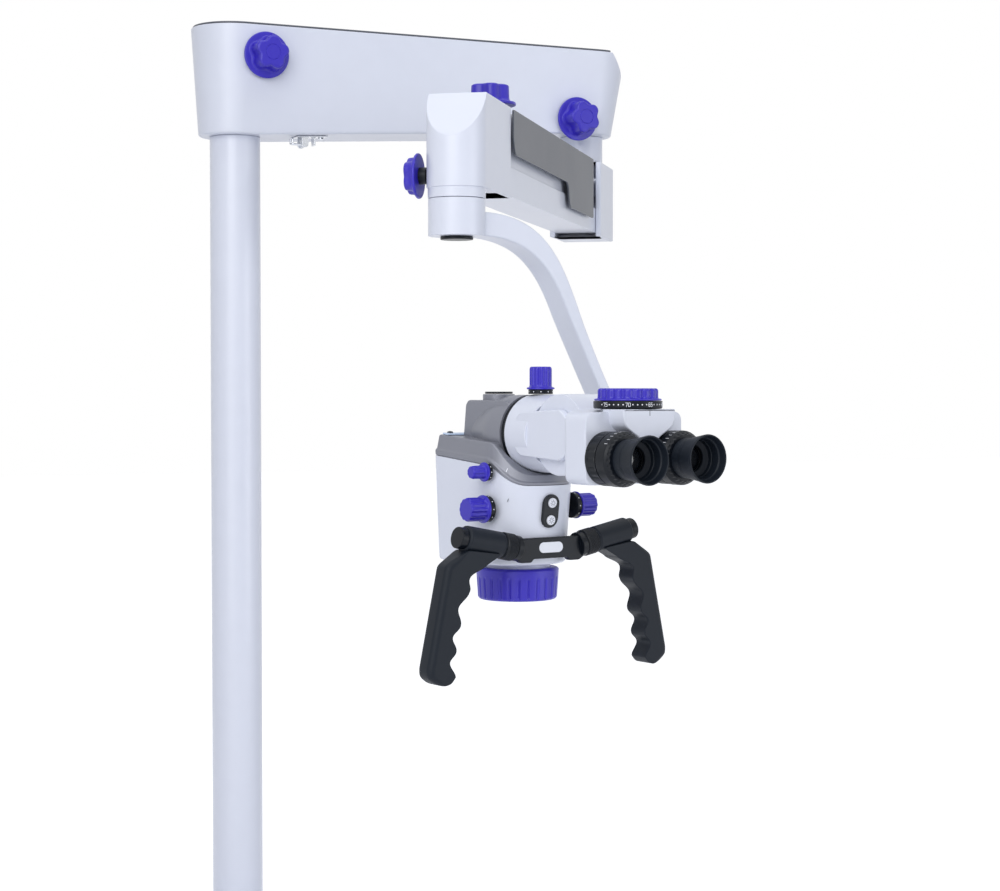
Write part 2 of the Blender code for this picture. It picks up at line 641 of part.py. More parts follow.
def build_upper_link(lift):
    """Upper shell, an inverted channel between two eyes, with its cover plates and balance spring."""
    eye_low = UPPER_PIVOT_Z - UPPER_EYE
    outline = arc(REAR_PIVOT, UPPER_PIVOT_Z, UPPER_EYE, -90, -270, 8)
    outline += arc(FRONT_PIVOT, UPPER_PIVOT_Z, UPPER_EYE, 90, -90, 8)
    outline += [
        (FRONT_PIVOT - SKIRT_START, eye_low),
        (FRONT_PIVOT - SKIRT_START - 8 * MM, UPPER_SKIRT_Z),
        (REAR_PIVOT + SKIRT_START + 8 * MM, UPPER_SKIRT_Z),
        (REAR_PIVOT + SKIRT_START, eye_low),
    ]
    shell = piece("upper_arm_shell", prism(outline, -UPPER_HALF, UPPER_HALF, "XZ"), WHITE, lift)
    inner = UPPER_HALF - UPPER_WALL
    cavity_rear = REAR_PIVOT + UPPER_EYE + 6 * MM
    cavity_front = FRONT_PIVOT - UPPER_EYE - 6 * MM
    ceiling = UPPER_PIVOT_Z + UPPER_EYE - UPPER_WALL
    cavity = box((cavity_rear, -inner, UPPER_SKIRT_Z - 5 * MM), (cavity_front, inner, ceiling))
    combine(shell, tool("upper_cavity_cutter", cavity, lift))
    pin_bores(shell, lift, UPPER_PIVOT_Z, "upper")
    lock_hole = cylinder(SCREW_RADIUS + GAP, ceiling - 5 * MM, ceiling + 10 * MM, 12)
    combine(shell, tool("lift_lock_cutter", lock_hole, lift, (HUB_REACH - 137 * MM, 0, 0)))
    top = UPPER_PIVOT_Z + UPPER_EYE
    corner = 5 * MM
    plate = [
        (PLATE_REAR, top),
        (PLATE_REAR, PLATE_LEG_Z + corner),
        (PLATE_REAR + corner, PLATE_LEG_Z),
        (PLATE_LEG - 14 * MM, PLATE_LEG_Z),
        (PLATE_LEG - 7 * MM, PLATE_LEG_Z + corner),
        (PLATE_LEG, PLATE_LOW_Z - 4 * MM),
        (PLATE_LEG + 7 * MM, PLATE_LOW_Z),
        (PLATE_FRONT, PLATE_LOW_Z),
        (PLATE_FRONT, top),
    ]
    inner_face = BLOCK_RADIUS + GAP
    for label, side in (("left", -1), ("right", 1)):
        skin = prism(plate, side * inner_face, side * (inner_face + PLATE_THICK), "XZ")
        cover = piece(f"{label}_cover_plate", skin, DARK_GREY, lift)
        for i in range(3):
            x = PLATE_REAR + (PLATE_FRONT - PLATE_REAR) * (0.12 + 0.38 * i)
            post = cylinder(PLATE_SPACER, UPPER_HALF + GAP, inner_face + PLATE_THICK / 2, 12)
            place = (x, 0, UPPER_PIVOT_Z)
            combine(cover, tool(f"{label}_spacer_{i + 1}", post, lift, place, (-90 * side, 0, 0)), "UNION")
    rod_start = cavity_rear + GAP
    rod_end = cavity_front - GAP
    barrel_end = mix(rod_start, rod_end, 0.68)
    cartridge = turned(
        [
            (0, rod_start),
            (SPRING_ROD, rod_start),
            (SPRING_ROD, rod_start + 30 * MM),
            (SPRING_RADIUS, rod_start + 30 * MM),
            (SPRING_RADIUS, barrel_end),
            (SPRING_ROD, barrel_end),
            (SPRING_ROD, rod_end),
            (0, rod_end),
        ],
        16,
    )
    piece("balance_spring", cartridge, STEEL, lift, (0, 0, UPPER_PIVOT_Z - 6 * MM), (0, 90, 0))


def build_lower_link(link):
    """Lower shell, an open channel that runs parallel to the upper one."""
    rise = math.degrees(math.asin((LOWER_TOP_Z - LOWER_PIVOT_Z) / LOWER_EYE))
    outline = arc(REAR_PIVOT, LOWER_PIVOT_Z, LOWER_EYE, -90, -180 - rise, 6)
    outline += arc(FRONT_PIVOT, LOWER_PIVOT_Z, LOWER_EYE, rise, -90, 6)
    shell = piece("lower_arm_shell", prism(outline, -LOWER_HALF, LOWER_HALF, "XZ"), WHITE, link)
    inner = LOWER_HALF - LOWER_WALL
    floor = LOWER_PIVOT_Z - LOWER_EYE + LOWER_WALL
    channel = box((-50 * MM, -inner, floor), (HUB_REACH + 50 * MM, inner, LOWER_TOP_Z + 30 * MM))
    combine(shell, tool("lower_channel_cutter", channel, link))
    pin_bores(shell, link, LOWER_PIVOT_Z, "lower")


def build_head_block(level):
    """Half-round block with a slot for the links, its pins, and the swivel that carries the drop arm."""
    outline = arc(0, 0, BLOCK_RADIUS, -90, 90, 12) + [(BLOCK_REAR, BLOCK_RADIUS), (BLOCK_REAR, -BLOCK_RADIUS)]
    body = prism(outline, BLOCK_LOW, BLOCK_HIGH)
    high_edge = Vector((-20 * MM, 0, BLOCK_HIGH))
    low_edge = Vector((BLOCK_RADIUS, 0, BLOCK_HIGH - 45 * MM))
    along = low_edge - high_edge
    parts = body.verts[:] + body.edges[:] + body.faces[:]
    normal = Vector((-along.z, 0, along.x))
    cut = bmesh.ops.bisect_plane(body, geom=parts, plane_co=high_edge, plane_no=normal, clear_outer=True)
    rim = [item for item in cut["geom_cut"] if isinstance(item, bmesh.types.BMEdge)]
    bmesh.ops.contextual_create(body, geom=rim)
    block = piece("head_block", body, WHITE, level)
    slot = box(
        (BLOCK_REAR - 5 * MM, -SLOT_HALF, BLOCK_LOW - 5 * MM), (BLOCK_SLOT, SLOT_HALF, BLOCK_HIGH + 5 * MM)
    )
    combine(block, tool("block_slot_cutter", slot, level))
    spigot = cylinder(COLLAR_RADIUS, HUB_TOP + GAP, BLOCK_LOW + 3 * MM, 28)
    combine(block, tool("swivel_spigot_form", spigot, level), "UNION")
    bore = cylinder(SWIVEL_RADIUS + GAP, HUB_TOP - 5 * MM, SWIVEL_TOP + GAP, 20)
    combine(block, tool("swivel_bore_cutter", bore, level))
    pivot = FRONT_PIVOT - HUB_REACH
    reach = BLOCK_RADIUS - 1.2 * MM
    for label, height in (("upper", UPPER_PIVOT_Z), ("lower", LOWER_PIVOT_Z)):
        pivot_pin(block, f"front_{label}_pin", level, (pivot, 0, height), reach)
    screw = cylinder(SCREW_RADIUS + GAP, SWIVEL_RADIUS - 2 * MM, BLOCK_RADIUS + 5 * MM, 12)
    combine(block, tool("swing_screw_cutter", screw, level, (0, 0, 841.5 * MM + 6 * MM), (90, 0, 0)))
    cap_top = HUB_BOTTOM - GAP
    spindle = turned(
        [
            (0, cap_top - HUB_CAP_THICK),
            (HUB_CAP_RADIUS, cap_top - HUB_CAP_THICK),
            (HUB_CAP_RADIUS, cap_top),
            (SWIVEL_RADIUS, cap_top),
            (SWIVEL_RADIUS, SWIVEL_TOP),
            (0, SWIVEL_TOP),
        ],
        20,
    )
    piece("swivel_spindle", spindle, BLACK, level)


def bezier(points, share):
    """A point on a cubic curve through four (across, height) control points."""
    rest = 1 - share
    weights = (rest**3, 3 * rest**2 * share, 3 * rest * share**2, share**3)
    return Vector([sum(w * point[k] for w, point in zip(weights, points)) for k in (0, 1)])


def build_drop_arm(swing):
    """Hub, S-shaped arm and lower boss in one casting. x is forward and y to the right of the hub."""
    knee = (129.5 * MM, 723 * MM)
    upper = [(20 * MM, 802 * MM), (85 * MM, 802 * MM), (108 * MM, 770 * MM), knee]
    lower = [knee, (144 * MM, 691 * MM), (187 * MM, 614 * MM), (205 * MM, 585 * MM)]
    path = [bezier(upper, i / 9) for i in range(9)] + [bezier(lower, i / 6) for i in range(7)]
    depths = [mix(23 * MM, 14 * MM, blend(i, 1.5, 9)) for i in range(9)]
    depths += [mix(14 * MM, 11.4 * MM, math.sin(math.pi * i / 6)) + 8 * MM * blend(i, 4.2, 6) for i in range(7)]
    half = DROP_WIDTH / 2
    edge = 2 * MM
    rings = []
    for i, middle in enumerate(path):
        before, after = path[max(i - 1, 0)], path[min(i + 1, len(path) - 1)]
        along = (after - before).normalized()
        across = Vector((-along.y, along.x))
        tall = depths[i] / 2
        section = [
            (-half + edge, tall), (half - edge, tall), (half, tall - edge), (half, edge - tall),
            (half - edge, -tall), (edge - half, -tall), (-half, edge - tall), (-half, tall - edge),
        ]
        ring = []
        for x, rise in section:
            place = middle + across * rise
            ring.append((x, place.x, place.y))
        rings.append(ring)
    arm = piece("drop_arm", skinned(rings), WHITE, swing)
    hub = tool("drop_hub_form", cylinder(HUB_RADIUS, HUB_BOTTOM, HUB_TOP, 24), swing)
    combine(arm, hub, "UNION")
    forward = TILT_FORWARD - HUB_FORWARD
    boss = cylinder(BOSS_RADIUS, BOSS_INNER, BOSS_OUTER, 28)
    place = (forward, -HUB_RIGHT, TILT_Z)
    combine(arm, tool("drop_boss_form", boss, swing, place, (-90, 0, 0)), "UNION")
    hub_bore = cylinder(SWIVEL_RADIUS + GAP, HUB_BOTTOM - 5 * MM, HUB_TOP + 5 * MM, 20)
    combine(arm, tool("drop_hub_cutter", hub_bore, swing))
    boss_bore = cylinder(TILT_SHAFT + GAP, BOSS_INNER - 5 * MM, BOSS_OUTER + 5 * MM, 20)
    combine(arm, tool("drop_boss_cutter", boss_bore, swing, place, (-90, 0, 0)))


def body_plan(share, inset=0.0):
    """Half of the body's plan outline from the rear to the nose, as (forward, across) points."""
    half = mix(BODY_HALF_BOTTOM, BODY_HALF_TOP, share) - inset
    rear = mix(BODY_REAR_BOTTOM, BODY_REAR_TOP, share) + inset
    nose = mix(BODY_NOSE_BOTTOM, BODY_NOSE_TOP, min(share * 1.15, 1.0)) - inset
    corner = BODY_CORNER - inset
    side = arc(rear + corner, half - corner, corner, 180, 90, 3)
    side += [(mix(rear + corner, BODY_NOSE_CENTRE, i / 2), half) for i in range(1, 2)]
    reach = nose - BODY_NOSE_CENTRE
    bow = arc(0, 0, 1, 90, 4, 8)
    side += [(BODY_NOSE_CENTRE + reach * a, half * b) for a, b in bow]
    return side


def body_ring(share, level, inset=0.0):
    """A closed ring of the body. Level gives the height at each forward position."""
    side = body_plan(share, inset)
    left = [(x, -y, level(x)) for x, y in side]
    right = [(x, y, level(x)) for x, y in reversed(side)]
    return left + right


def seam_height(x):
    """The line where the white body meets the grey shell, dipping towards the nose."""
    rear = mix(SEAM_REAR, SEAM_MIDDLE, min(max((x - BODY_REAR_TOP) / (80 * MM), 0), 1))
    return rear - (SEAM_MIDDLE - SEAM_FRONT) * blend(x, 12 * MM, 46 * MM)


def rim_height(x):
    """The upper edge of the grey shell, dipping under the tube at the nose."""
    rear = mix(BODY_RIM, RIM_MIDDLE, min(max((x - BODY_REAR_TOP) / (80 * MM), 0), 1))
    return rear - (RIM_MIDDLE - RIM_FRONT) * blend(x, 13 * MM, 46 * MM)


def share_at(height):
    """How far up the body's draft a height lies."""
    return (height - BODY_BOTTOM) / (BODY_RIM - BODY_BOTTOM)


def cross_bore(target, name, frame, place, radius, turn, near, far, sides=14):
    """Bores a hole along the turned Z axis from near to far."""
    combine(target, tool(name, cylinder(radius, near, far, sides), frame, place, turn))


def build_body(tilt):
    """White body shell, grey upper shell with its turret, top plate, port cap and objective."""
    low = BODY_BOTTOM
    rings = [
        body_ring(0, lambda x: low, 3.5 * MM),
        body_ring(0.01, lambda x: low + 1.2 * MM, 1 * MM),
        body_ring(0.03, lambda x: low + 4 * MM),
        body_ring(share_at(535 * MM), lambda x: 535 * MM),
        body_ring(share_at(575 * MM), seam_height),
    ]
    body = piece("body_shell", skinned(rings, across=True), WHITE, tilt)
    neck = cylinder(NECK_RADIUS, NECK_BOTTOM, BODY_BOTTOM + 4 * MM, 28)
    combine(body, tool("objective_neck_form", neck, tilt), "UNION")
    seat = cylinder(LENS_RADIUS + GAP, NECK_BOTTOM - 5 * MM, NECK_BOTTOM + 12 * MM, 24)
    combine(body, tool("objective_seat_cutter", seat, tilt))
    cross_bore(
        body, "zoom_bore_cutter", tilt, (ZOOM_PLACE[0], 0, ZOOM_PLACE[1]), 4 * MM + GAP, (90, 0, 0), -70 * MM, 70 * MM
    )
    cross_bore(
        body, "aperture_bore_cutter", tilt, (APERTURE_PLACE[0], 0, APERTURE_PLACE[1]), 2.5 * MM + GAP, (90, 0, 0),
        30 * MM, 70 * MM,
    )
    lens_top = NECK_BOTTOM + 12 * MM - GAP
    glass = [(0, lens_top - LENS_THICK - 2 * MM)]
    glass += [(LENS_RADIUS * 0.5, lens_top - LENS_THICK - 1.5 * MM), (LENS_RADIUS, lens_top - LENS_THICK)]
    glass += [(LENS_RADIUS, lens_top), (0, lens_top)]
    piece("objective_lens", turned(glass, 24), GLASS, tilt)

    start = share_at(575 * MM)
    crown = [
        body_ring(start, lambda x: seam_height(x) + GAP),
        body_ring(start, lambda x: mix(seam_height(x), rim_height(x), 0.25) + GAP),
        body_ring(start, lambda x: mix(seam_height(x), rim_height(x), 0.35), 2 * MM),
        body_ring(1.0, rim_height, 4.5 * MM),
    ]
    shell = piece("upper_shell", skinned(crown, across=True), SHELL_GREY, tilt)
    dome = [
        (TURRET_REAR - 3 * MM, 590 * MM),
        (TURRET_REAR - 3 * MM, BODY_RIM),
        (PORT_CENTRE - PORT_RADIUS - 5 * MM, TURRET_TOP - 3 * MM),
        (PORT_CENTRE - PORT_RADIUS - 2 * MM, TURRET_TOP),
        (10 * MM, TURRET_TOP),
        (TURRET_FRONT + 4 * MM, TURRET_TOP - 9 * MM),
        (TURRET_FRONT + 4 * MM, 590 * MM),
    ]
    ridge = tool("turret_form", prism(dome, -24 * MM, 24 * MM, "XZ"), tilt)
    soften(ridge, 6 * MM, 2, 60)
    combine(shell, ridge, "UNION")
    vault = prism(arc(0, TUBE_Z, TURRET_RADIUS, -25, 205, 20), -44 * MM, TURRET_FRONT + 6 * MM, "YZ")
    combine(shell, tool("turret_barrel_form", vault, tilt), "UNION")
    port = cylinder(PORT_RADIUS, TURRET_TOP - 10 * MM, PORT_TOP, 24)
    combine(shell, tool("port_form", port, tilt, (PORT_CENTRE, 0, 0)), "UNION")
    room = cylinder(TUBE_RADIUS + 1.2 * MM, 0, 60 * MM, 32)
    recess = tool("tube_room_cutter", room, tilt, (TURRET_FRONT, 0, TUBE_Z), (0, 90, 0))
    combine(shell, recess)
    combine(body, recess)
    rear = body_plan(1.0, 6.5 * MM)
    stop = TURRET_REAR - 3.6 * MM
    outline = [(x, y) for x, y in rear if x < stop]
    edge = outline[-1][1]
    outline = outline + [(stop, edge)]
    outline = outline + [(x, -y) for x, y in reversed(outline)]
    sheet = skinned([
        [(x, y, rim_height(x) + GAP) for x, y in outline],
        [(x, y, rim_height(x) + GAP + TOP_PLATE_THICK) for x, y in outline],
    ])
    piece("rear_top_plate", sheet, PALE_BLUE, tilt)
    cap = cylinder(PORT_CAP_RADIUS, PORT_TOP + GAP, PORT_TOP + GAP + PORT_CAP_THICK, 24)
    piece("port_cap", cap, BLACK, tilt, (PORT_CENTRE, 0, 0))
    ring_start = TURRET_FRONT + GAP
    collar = cylinder(RING_RADIUS, 0, RING_LENGTH, 28)
    piece("dovetail_ring", collar, BLACK, tilt, (ring_start, 0, TUBE_Z), (0, 90, 0))
    flange_face = mix(BODY_HALF_BOTTOM, BODY_HALF_TOP, share_at(SEAM_REAR)) + GAP
    flange_end = flange_face + TILT_FLANGE_THICK
    shaft = turned(
        [
            (0, flange_face),
            (TILT_FLANGE, flange_face),
            (TILT_FLANGE, flange_end),
            (TILT_SHAFT, flange_end),
            (TILT_SHAFT, BOSS_OUTER),
            (SCREW_RADIUS + GAP, BOSS_OUTER),
            (SCREW_RADIUS + GAP, BOSS_OUTER - 16 * MM),
            (0, BOSS_OUTER - 16 * MM),
        ],
        20,
    )
    piece("tilt_shaft", shaft, STEEL, tilt, (TILT_FORWARD, 0, TILT_Z), (-90, 0, 0))


def build_focus_ring(focus):
    """Ribbed ring that turns round the objective's neck."""
    rise = FOCUS_TOP - FOCUS_BOTTOM
    groove = 1.4 * MM
    stations = [
        (FOCUS_BOTTOM, FOCUS_RADIUS_BOTTOM - 1.5 * MM, groove * 0.6),
        (FOCUS_BOTTOM + 1.5 * MM, FOCUS_RADIUS_BOTTOM, groove),
        (FOCUS_BOTTOM + rise * 0.68, mix(FOCUS_RADIUS_BOTTOM, FOCUS_RADIUS_TOP, 0.68), groove),
        (FOCUS_BOTTOM + rise * 0.72, mix(FOCUS_RADIUS_BOTTOM, FOCUS_RADIUS_TOP, 0.72), 0),
        (FOCUS_TOP - 1.5 * MM, FOCUS_RADIUS_TOP, 0),
        (FOCUS_TOP, FOCUS_RADIUS_TOP - 2 * MM, 0),
    ]
    ring = piece("focus_ring", lobed(stations, FOCUS_RIBS, 2), BLUE, focus)
    bore = turned(
        [
            (0, FOCUS_BOTTOM - 5 * MM),
            (LENS_RADIUS + 1 * MM, FOCUS_BOTTOM - 5 * MM),
            (LENS_RADIUS + 1 * MM, NECK_BOTTOM - 2 * MM),
            (NECK_RADIUS + GAP, NECK_BOTTOM - 2 * MM),
            (NECK_RADIUS + GAP, FOCUS_TOP + 5 * MM),
            (0, FOCUS_TOP + 5 * MM),
        ],
        24,
    )
    combine(ring, tool("focus_bore_cutter", bore, focus))


def build_tube(tilt):
    """White tube base: a barrel with two cheeks that carry the binocular's drum."""
    length = TUBE_END - TUBE_START
    barrel = [(0, 0), (TUBE_RADIUS - 2 * MM, 0), (TUBE_RADIUS, 2 * MM), (TUBE_RADIUS, length), (0, length)]
    base = piece("tube_base", turned(barrel, 24), WHITE, tilt, (TUBE_START, 0, TUBE_Z), (0, 90, 0))
    drum = cylinder(DRUM_RADIUS + DRUM_GAP, -80 * MM, 80 * MM, 28)
    combine(base, tool("drum_room_cutter", drum, tilt, (DRUM_CENTRE, 0, TUBE_Z), (-90, 0, 0)))
    outline = arc(DRUM_CENTRE, TUBE_Z, CHEEK_RADIUS, -70, 70, 7)
    outline += arc(TUBE_START + 30 * MM, TUBE_Z, 21 * MM, 110, 250, 5)
    for label, side in (("left", -1), ("right", 1)):
        slab = prism(outline, side * CHEEK_INNER, side * CHEEK_OUTER, "XZ")
        form = tool(f"{label}_cheek_form", slab, tilt)
        combine(base, form, "UNION")
    for label, side in (("left", -1), ("right", 1)):
        place = (DRUM_CENTRE, 0, TUBE_Z)
        hole = cylinder(TRUNNION_RADIUS + GAP, CHEEK_INNER - 5 * MM, CHEEK_OUTER - 1.5 * MM, 16)
        combine(base, tool(f"{label}_trunnion_cutter", hole, tilt, place, (-90 * side, 0, 0)))
    post_x, post_z = TUBE_LOCK
    screw = cylinder(3 * MM + GAP, post_z - 12 * MM, post_z + 5 * MM, 12)
    combine(base, tool("lock_screw_cutter", screw, tilt, (post_x, 0, 0)))


def small_knob(name, frame, core, collar, flange, body, collar_end, top, ribs, points=2, inward=10 * MM):
    """A ribbed instrument knob on a collar. The frame's Z points out of the face it stands on."""
    groove = body * 0.11
    base = collar_end + 2 * MM
    stations = [
        (-inward, core, 0),
        (GAP, core, 0),
        (GAP, collar, 0),
        (collar_end, collar, 0),
        (collar_end, flange, 0),
        (base, flange, 0),
        (base, body, groove),
        (top - 1.5 * MM, body, groove),
        (top, body - 1.5 * MM, groove * 0.5),
    ]
    return piece(name, lobed(stations, ribs, points), BLUE, frame)


def build_zoom(zoom):
    """One shaft through the body with a dial collar and a ribbed knob at each end."""
    collar = 12 * MM
    collar_end = CONTROL_SEAT + 5 * MM
    half = [(4 * MM, CONTROL_SEAT), (collar, CONTROL_SEAT), (collar, collar_end), (4 * MM, collar_end)]
    half += [(4 * MM, collar_end + 12 * MM), (0, collar_end + 12 * MM)]
    profile = [(radius, -height) for radius, height in reversed(half)] + half
    piece("zoom_shaft", turned(profile, 20), BLACK, zoom, turn=(90, 0, 0))
    body = 10.8 * MM
    for label, turn in (("left", 90), ("right", -90)):
        base = collar_end + GAP
        stations = [
            (base, 12.7 * MM, 0),
            (base + 2 * MM, 12.7 * MM, 0),
            (base + 2 * MM, body, 1 * MM),
            (base + 18.5 * MM, body, 1 * MM),
            (base + 20 * MM, body - 1.5 * MM, 0.6 * MM),
        ]
        knob = piece(f"{label}_zoom_knob", lobed(stations, 12, 2), BLUE, zoom, turn=(turn, 0, 0))
        hole = cylinder(4 * MM + GAP, base - 5 * MM, collar_end + 12 * MM + GAP, 14)
        combine(knob, tool(f"{label}_zoom_cutter", hole, zoom, turn=(turn, 0, 0)))


def build_binocular(fold):
    """Housing with the hinge drum, the neck, the eyepiece box and the seat of the dial."""

    def section(x, half, low, high, corner):
        points = arc(half - corner, high - corner, corner, 0, 90, 3)
        points += arc(corner - half, high - corner, corner, 90, 180, 3)
        points += arc(corner - half, low + corner, corner, 180, 270, 3)
        points += arc(half - corner, low + corner, corner, 270, 360, 3)
        return [(x, y, z) for y, z in points]

    low, high = HOUSING_LOW, HOUSING_HIGH
    inner = DRUM_HALF - 0.4 * MM
    rings = [
        section(DRUM_CENTRE - 10 * MM, inner, TUBE_Z - 26 * MM, TUBE_Z + 26 * MM, 3 * MM),
        section(HOUSING_REAR - 3 * MM, inner, low + 4 * MM, high + 3 * MM, 6 * MM),
        section(HOUSING_REAR + 1 * MM, HOUSING_HALF - 12 * MM, low + 3 * MM, high + 1 * MM, 12 * MM),
        section(HOUSING_REAR + 17 * MM, HOUSING_HALF, low, high, 13 * MM),
        section(HOUSING_FRONT - 3 * MM, HOUSING_HALF, low, high, 13 * MM),
        section(HOUSING_FRONT, HOUSING_HALF - 2.5 * MM, low + 2.5 * MM, high - 2.5 * MM, 11 * MM),
    ]
    housing = piece("binocular_housing", skinned(rings), WHITE, fold)
    place = (DRUM_CENTRE, 0, TUBE_Z)
    drum = cylinder(DRUM_RADIUS, -DRUM_HALF, DRUM_HALF, 28)
    combine(housing, tool("drum_form", drum, fold, place, (-90, 0, 0)), "UNION")
    reach = CHEEK_OUTER - 2 * MM
    trunnion = cylinder(TRUNNION_RADIUS, -reach, reach, 16)
    combine(housing, tool("trunnion_form", trunnion, fold, place, (-90, 0, 0)), "UNION")
    pad = turned(
        [
            (0, DIAL_PAD_LOW),
            (DIAL_PAD_RADIUS - 4 * MM, DIAL_PAD_LOW),
            (DIAL_PAD_RADIUS, DIAL_PAD_LOW + 6 * MM),
            (DIAL_PAD_RADIUS, DIAL_PAD_TOP),
            (0, DIAL_PAD_TOP),
        ],
        24,
    )
    combine(housing, tool("dial_pad_form", pad, fold, (DIAL_CENTRE, 0, 0)), "UNION")


def build_dial(dial):
    """Interpupillary distance dial ring and the scalloped knob on it."""
    low = DIAL_PAD_TOP + GAP
    high = low + DIAL_THICK
    plate = turned(
        [(0, low), (DIAL_RADIUS - 0.8 * MM, low), (DIAL_RADIUS, low + 0.8 * MM), (DIAL_RADIUS, high), (0, high)], 32
    )
    piece("pd_dial", plate, BLACK, dial)
    base = high + GAP
    top = base + PD_KNOB_HEIGHT
    stations = [
        (base, PD_KNOB_RADIUS + 2.7 * MM, 0),
        (base + 1.5 * MM, PD_KNOB_RADIUS + 2.7 * MM, 0),
        (base + 1.5 * MM, PD_KNOB_RADIUS, 1.6 * MM),
        (top - 1 * MM, PD_KNOB_RADIUS, 1.6 * MM),
        (top, PD_KNOB_RADIUS - 1 * MM, 1.2 * MM),
    ]
    piece("pd_knob", lobed(stations, PD_KNOB_LOBES, 2), BLUE, dial)


def build_eyepiece(label, slide, diopter):
    """Barrel with its lens, and the diopter ring with the eyecup that turns on it."""
    barrel_end = BARREL_LENGTH
    core_end = BARREL_LENGTH + DIOPTER_LENGTH + 6 * MM
    lens_seat = OCULAR_RADIUS + GAP
    barrel = turned(
        [
            (0, GAP),
            (BARREL_RADIUS, GAP),
            (BARREL_RADIUS, barrel_end),
            (EYEPIECE_CORE, barrel_end),
            (EYEPIECE_CORE, core_end),
            (lens_seat, core_end),
            (lens_seat, core_end - 5 * MM),
            (0, core_end - 5 * MM),
        ],
        24,
    )
    piece(f"{label}_eyepiece_barrel", barrel, BLACK, slide)
    face = core_end - 5 * MM + GAP
    lens = [(0, face), (OCULAR_RADIUS, face), (OCULAR_RADIUS, face + 3 * MM)]
    lens += [(OCULAR_RADIUS * 0.6, face + 4.2 * MM), (0, face + 4.6 * MM)]
    piece(f"{label}_ocular_lens", turned(lens, 16), GLASS, slide)
    ring_start = barrel_end + GAP
    ring_end = barrel_end + DIOPTER_LENGTH
    stations = [
        (ring_start, DIOPTER_RADIUS - 1.2 * MM, 0),
        (ring_start + 1.2 * MM, DIOPTER_RADIUS, 0),
        (ring_start + 6 * MM, DIOPTER_RADIUS, 1 * MM),
        (ring_end - 1 * MM, DIOPTER_RADIUS, 1 * MM),
        (ring_end, DIOPTER_RADIUS - 1.2 * MM, 0.4 * MM),
    ]
    ring = piece(f"{label}_diopter_ring", lobed(stations, DIOPTER_RIBS, 2), BLACK, diopter)
    bore = cylinder(EYEPIECE_CORE + GAP, ring_start - 5 * MM, ring_end + 5 * MM, 18)
    combine(ring, tool(f"{label}_diopter_cutter", bore, diopter))
    cup_start = ring_end + GAP
    cup_end = cup_start + EYECUP_LENGTH
    wall = 1.8 * MM
    cup = turned(
        [
            (EYECUP_NECK, cup_start),
            (EYECUP_NECK, cup_start + 9 * MM),
            (EYECUP_RIM, cup_end - 1.5 * MM),
            (EYECUP_RIM - 0.8 * MM, cup_end),
            (EYECUP_RIM - 2 * wall, cup_end - 0.8 * MM),
            (EYECUP_NECK - wall + 0.4 * MM, cup_start + 13 * MM),
            (OCULAR_RADIUS, cup_start + 8.4 * MM),
            (OCULAR_RADIUS, cup_start + 6.4 * MM),
            (EYEPIECE_CORE + GAP, cup_start + 6.4 * MM),
            (EYEPIECE_CORE + GAP, cup_start),
        ],
        18,
        hollow=True,
    )
    piece(f"{label}_eyecup", cup, RUBBER, diopter)


def stadium(length, width, steps=6):
    """An oblong outline with round ends, long along the first axis."""
    radius = width / 2
    reach = length / 2 - radius
    return arc(reach, 0, radius, -90, 90, steps) + arc(-reach, 0, radius, 90, 270, steps)


def build_panel(face, buttons):
    """Oblong switch panel on the nose, with two push buttons in it."""
    panel = piece("switch_panel", prism(stadium(PANEL_HEIGHT, PANEL_WIDTH), 0, PANEL_THICK), BLACK, face)
    for label, frame, side in (("upper", buttons[0], -1), ("lower", buttons[1], 1)):
        well = cylinder(BUTTON_RADIUS + GAP, PANEL_THICK - BUTTON_TRAVEL - 1 * MM, PANEL_THICK + 5 * MM, 14)
        combine(panel, tool(f"{label}_button_cutter", well, face, (side * BUTTON_SPACING / 2, 0, 0)))
        foot = PANEL_THICK - 1 * MM + GAP
        head = PANEL_THICK + BUTTON_PROUD
        cap = turned(
            [(0, foot), (BUTTON_RADIUS, foot), (BUTTON_RADIUS, head - 0.7 * MM), (BUTTON_RADIUS - 0.8 * MM, head),
             (0, head)],
            14,
        )
        piece(f"{label}_button", cap, BUTTON_WHITE, frame)


def build_bracket(tilt, sides):
    """Bar across the nose with a boss at each end, and the two handle spindles with their end caps."""
    top, low = BAR_HIGH, BAR_LOW
    outline = [(-BAR_HALF, low), (-BAR_HALF + 6 * MM, low - 3 * MM), (-BAR_HALF + 16 * MM, low - 3 * MM)]
    outline += [(-BAR_HALF + 20 * MM, low), (BAR_HALF - 20 * MM, low), (BAR_HALF - 16 * MM, low - 3 * MM)]
    outline += [(BAR_HALF - 6 * MM, low - 3 * MM), (BAR_HALF, low), (BAR_HALF, top), (-BAR_HALF, top)]
    bar = piece("handle_bracket", prism(outline, BAR_BACK, BAR_FRONT, "YZ"), BLACK, tilt)
    for label, frame in sides:
        boss = cylinder(BRACKET_BOSS, -2 * MM, BRACKET_BOSS_LENGTH, 20)
        combine(bar, tool(f"{label}_bracket_boss", boss, frame), "UNION")
        start = BRACKET_BOSS_LENGTH + GAP
        cap_start = SLEEVE_END + GAP
        rod = turned(
            [
                (0, start),
                (HANDLE_ROD, start),
                (HANDLE_ROD, cap_start),
                (END_CAP_RADIUS, cap_start),
                (END_CAP_RADIUS, cap_start + END_CAP_LENGTH - 1 * MM),
                (END_CAP_RADIUS - 1 * MM, cap_start + END_CAP_LENGTH),
                (0, cap_start + END_CAP_LENGTH),
            ],
            20,
        )
        piece(f"{label}_handle_spindle", rod, BLACK, frame)


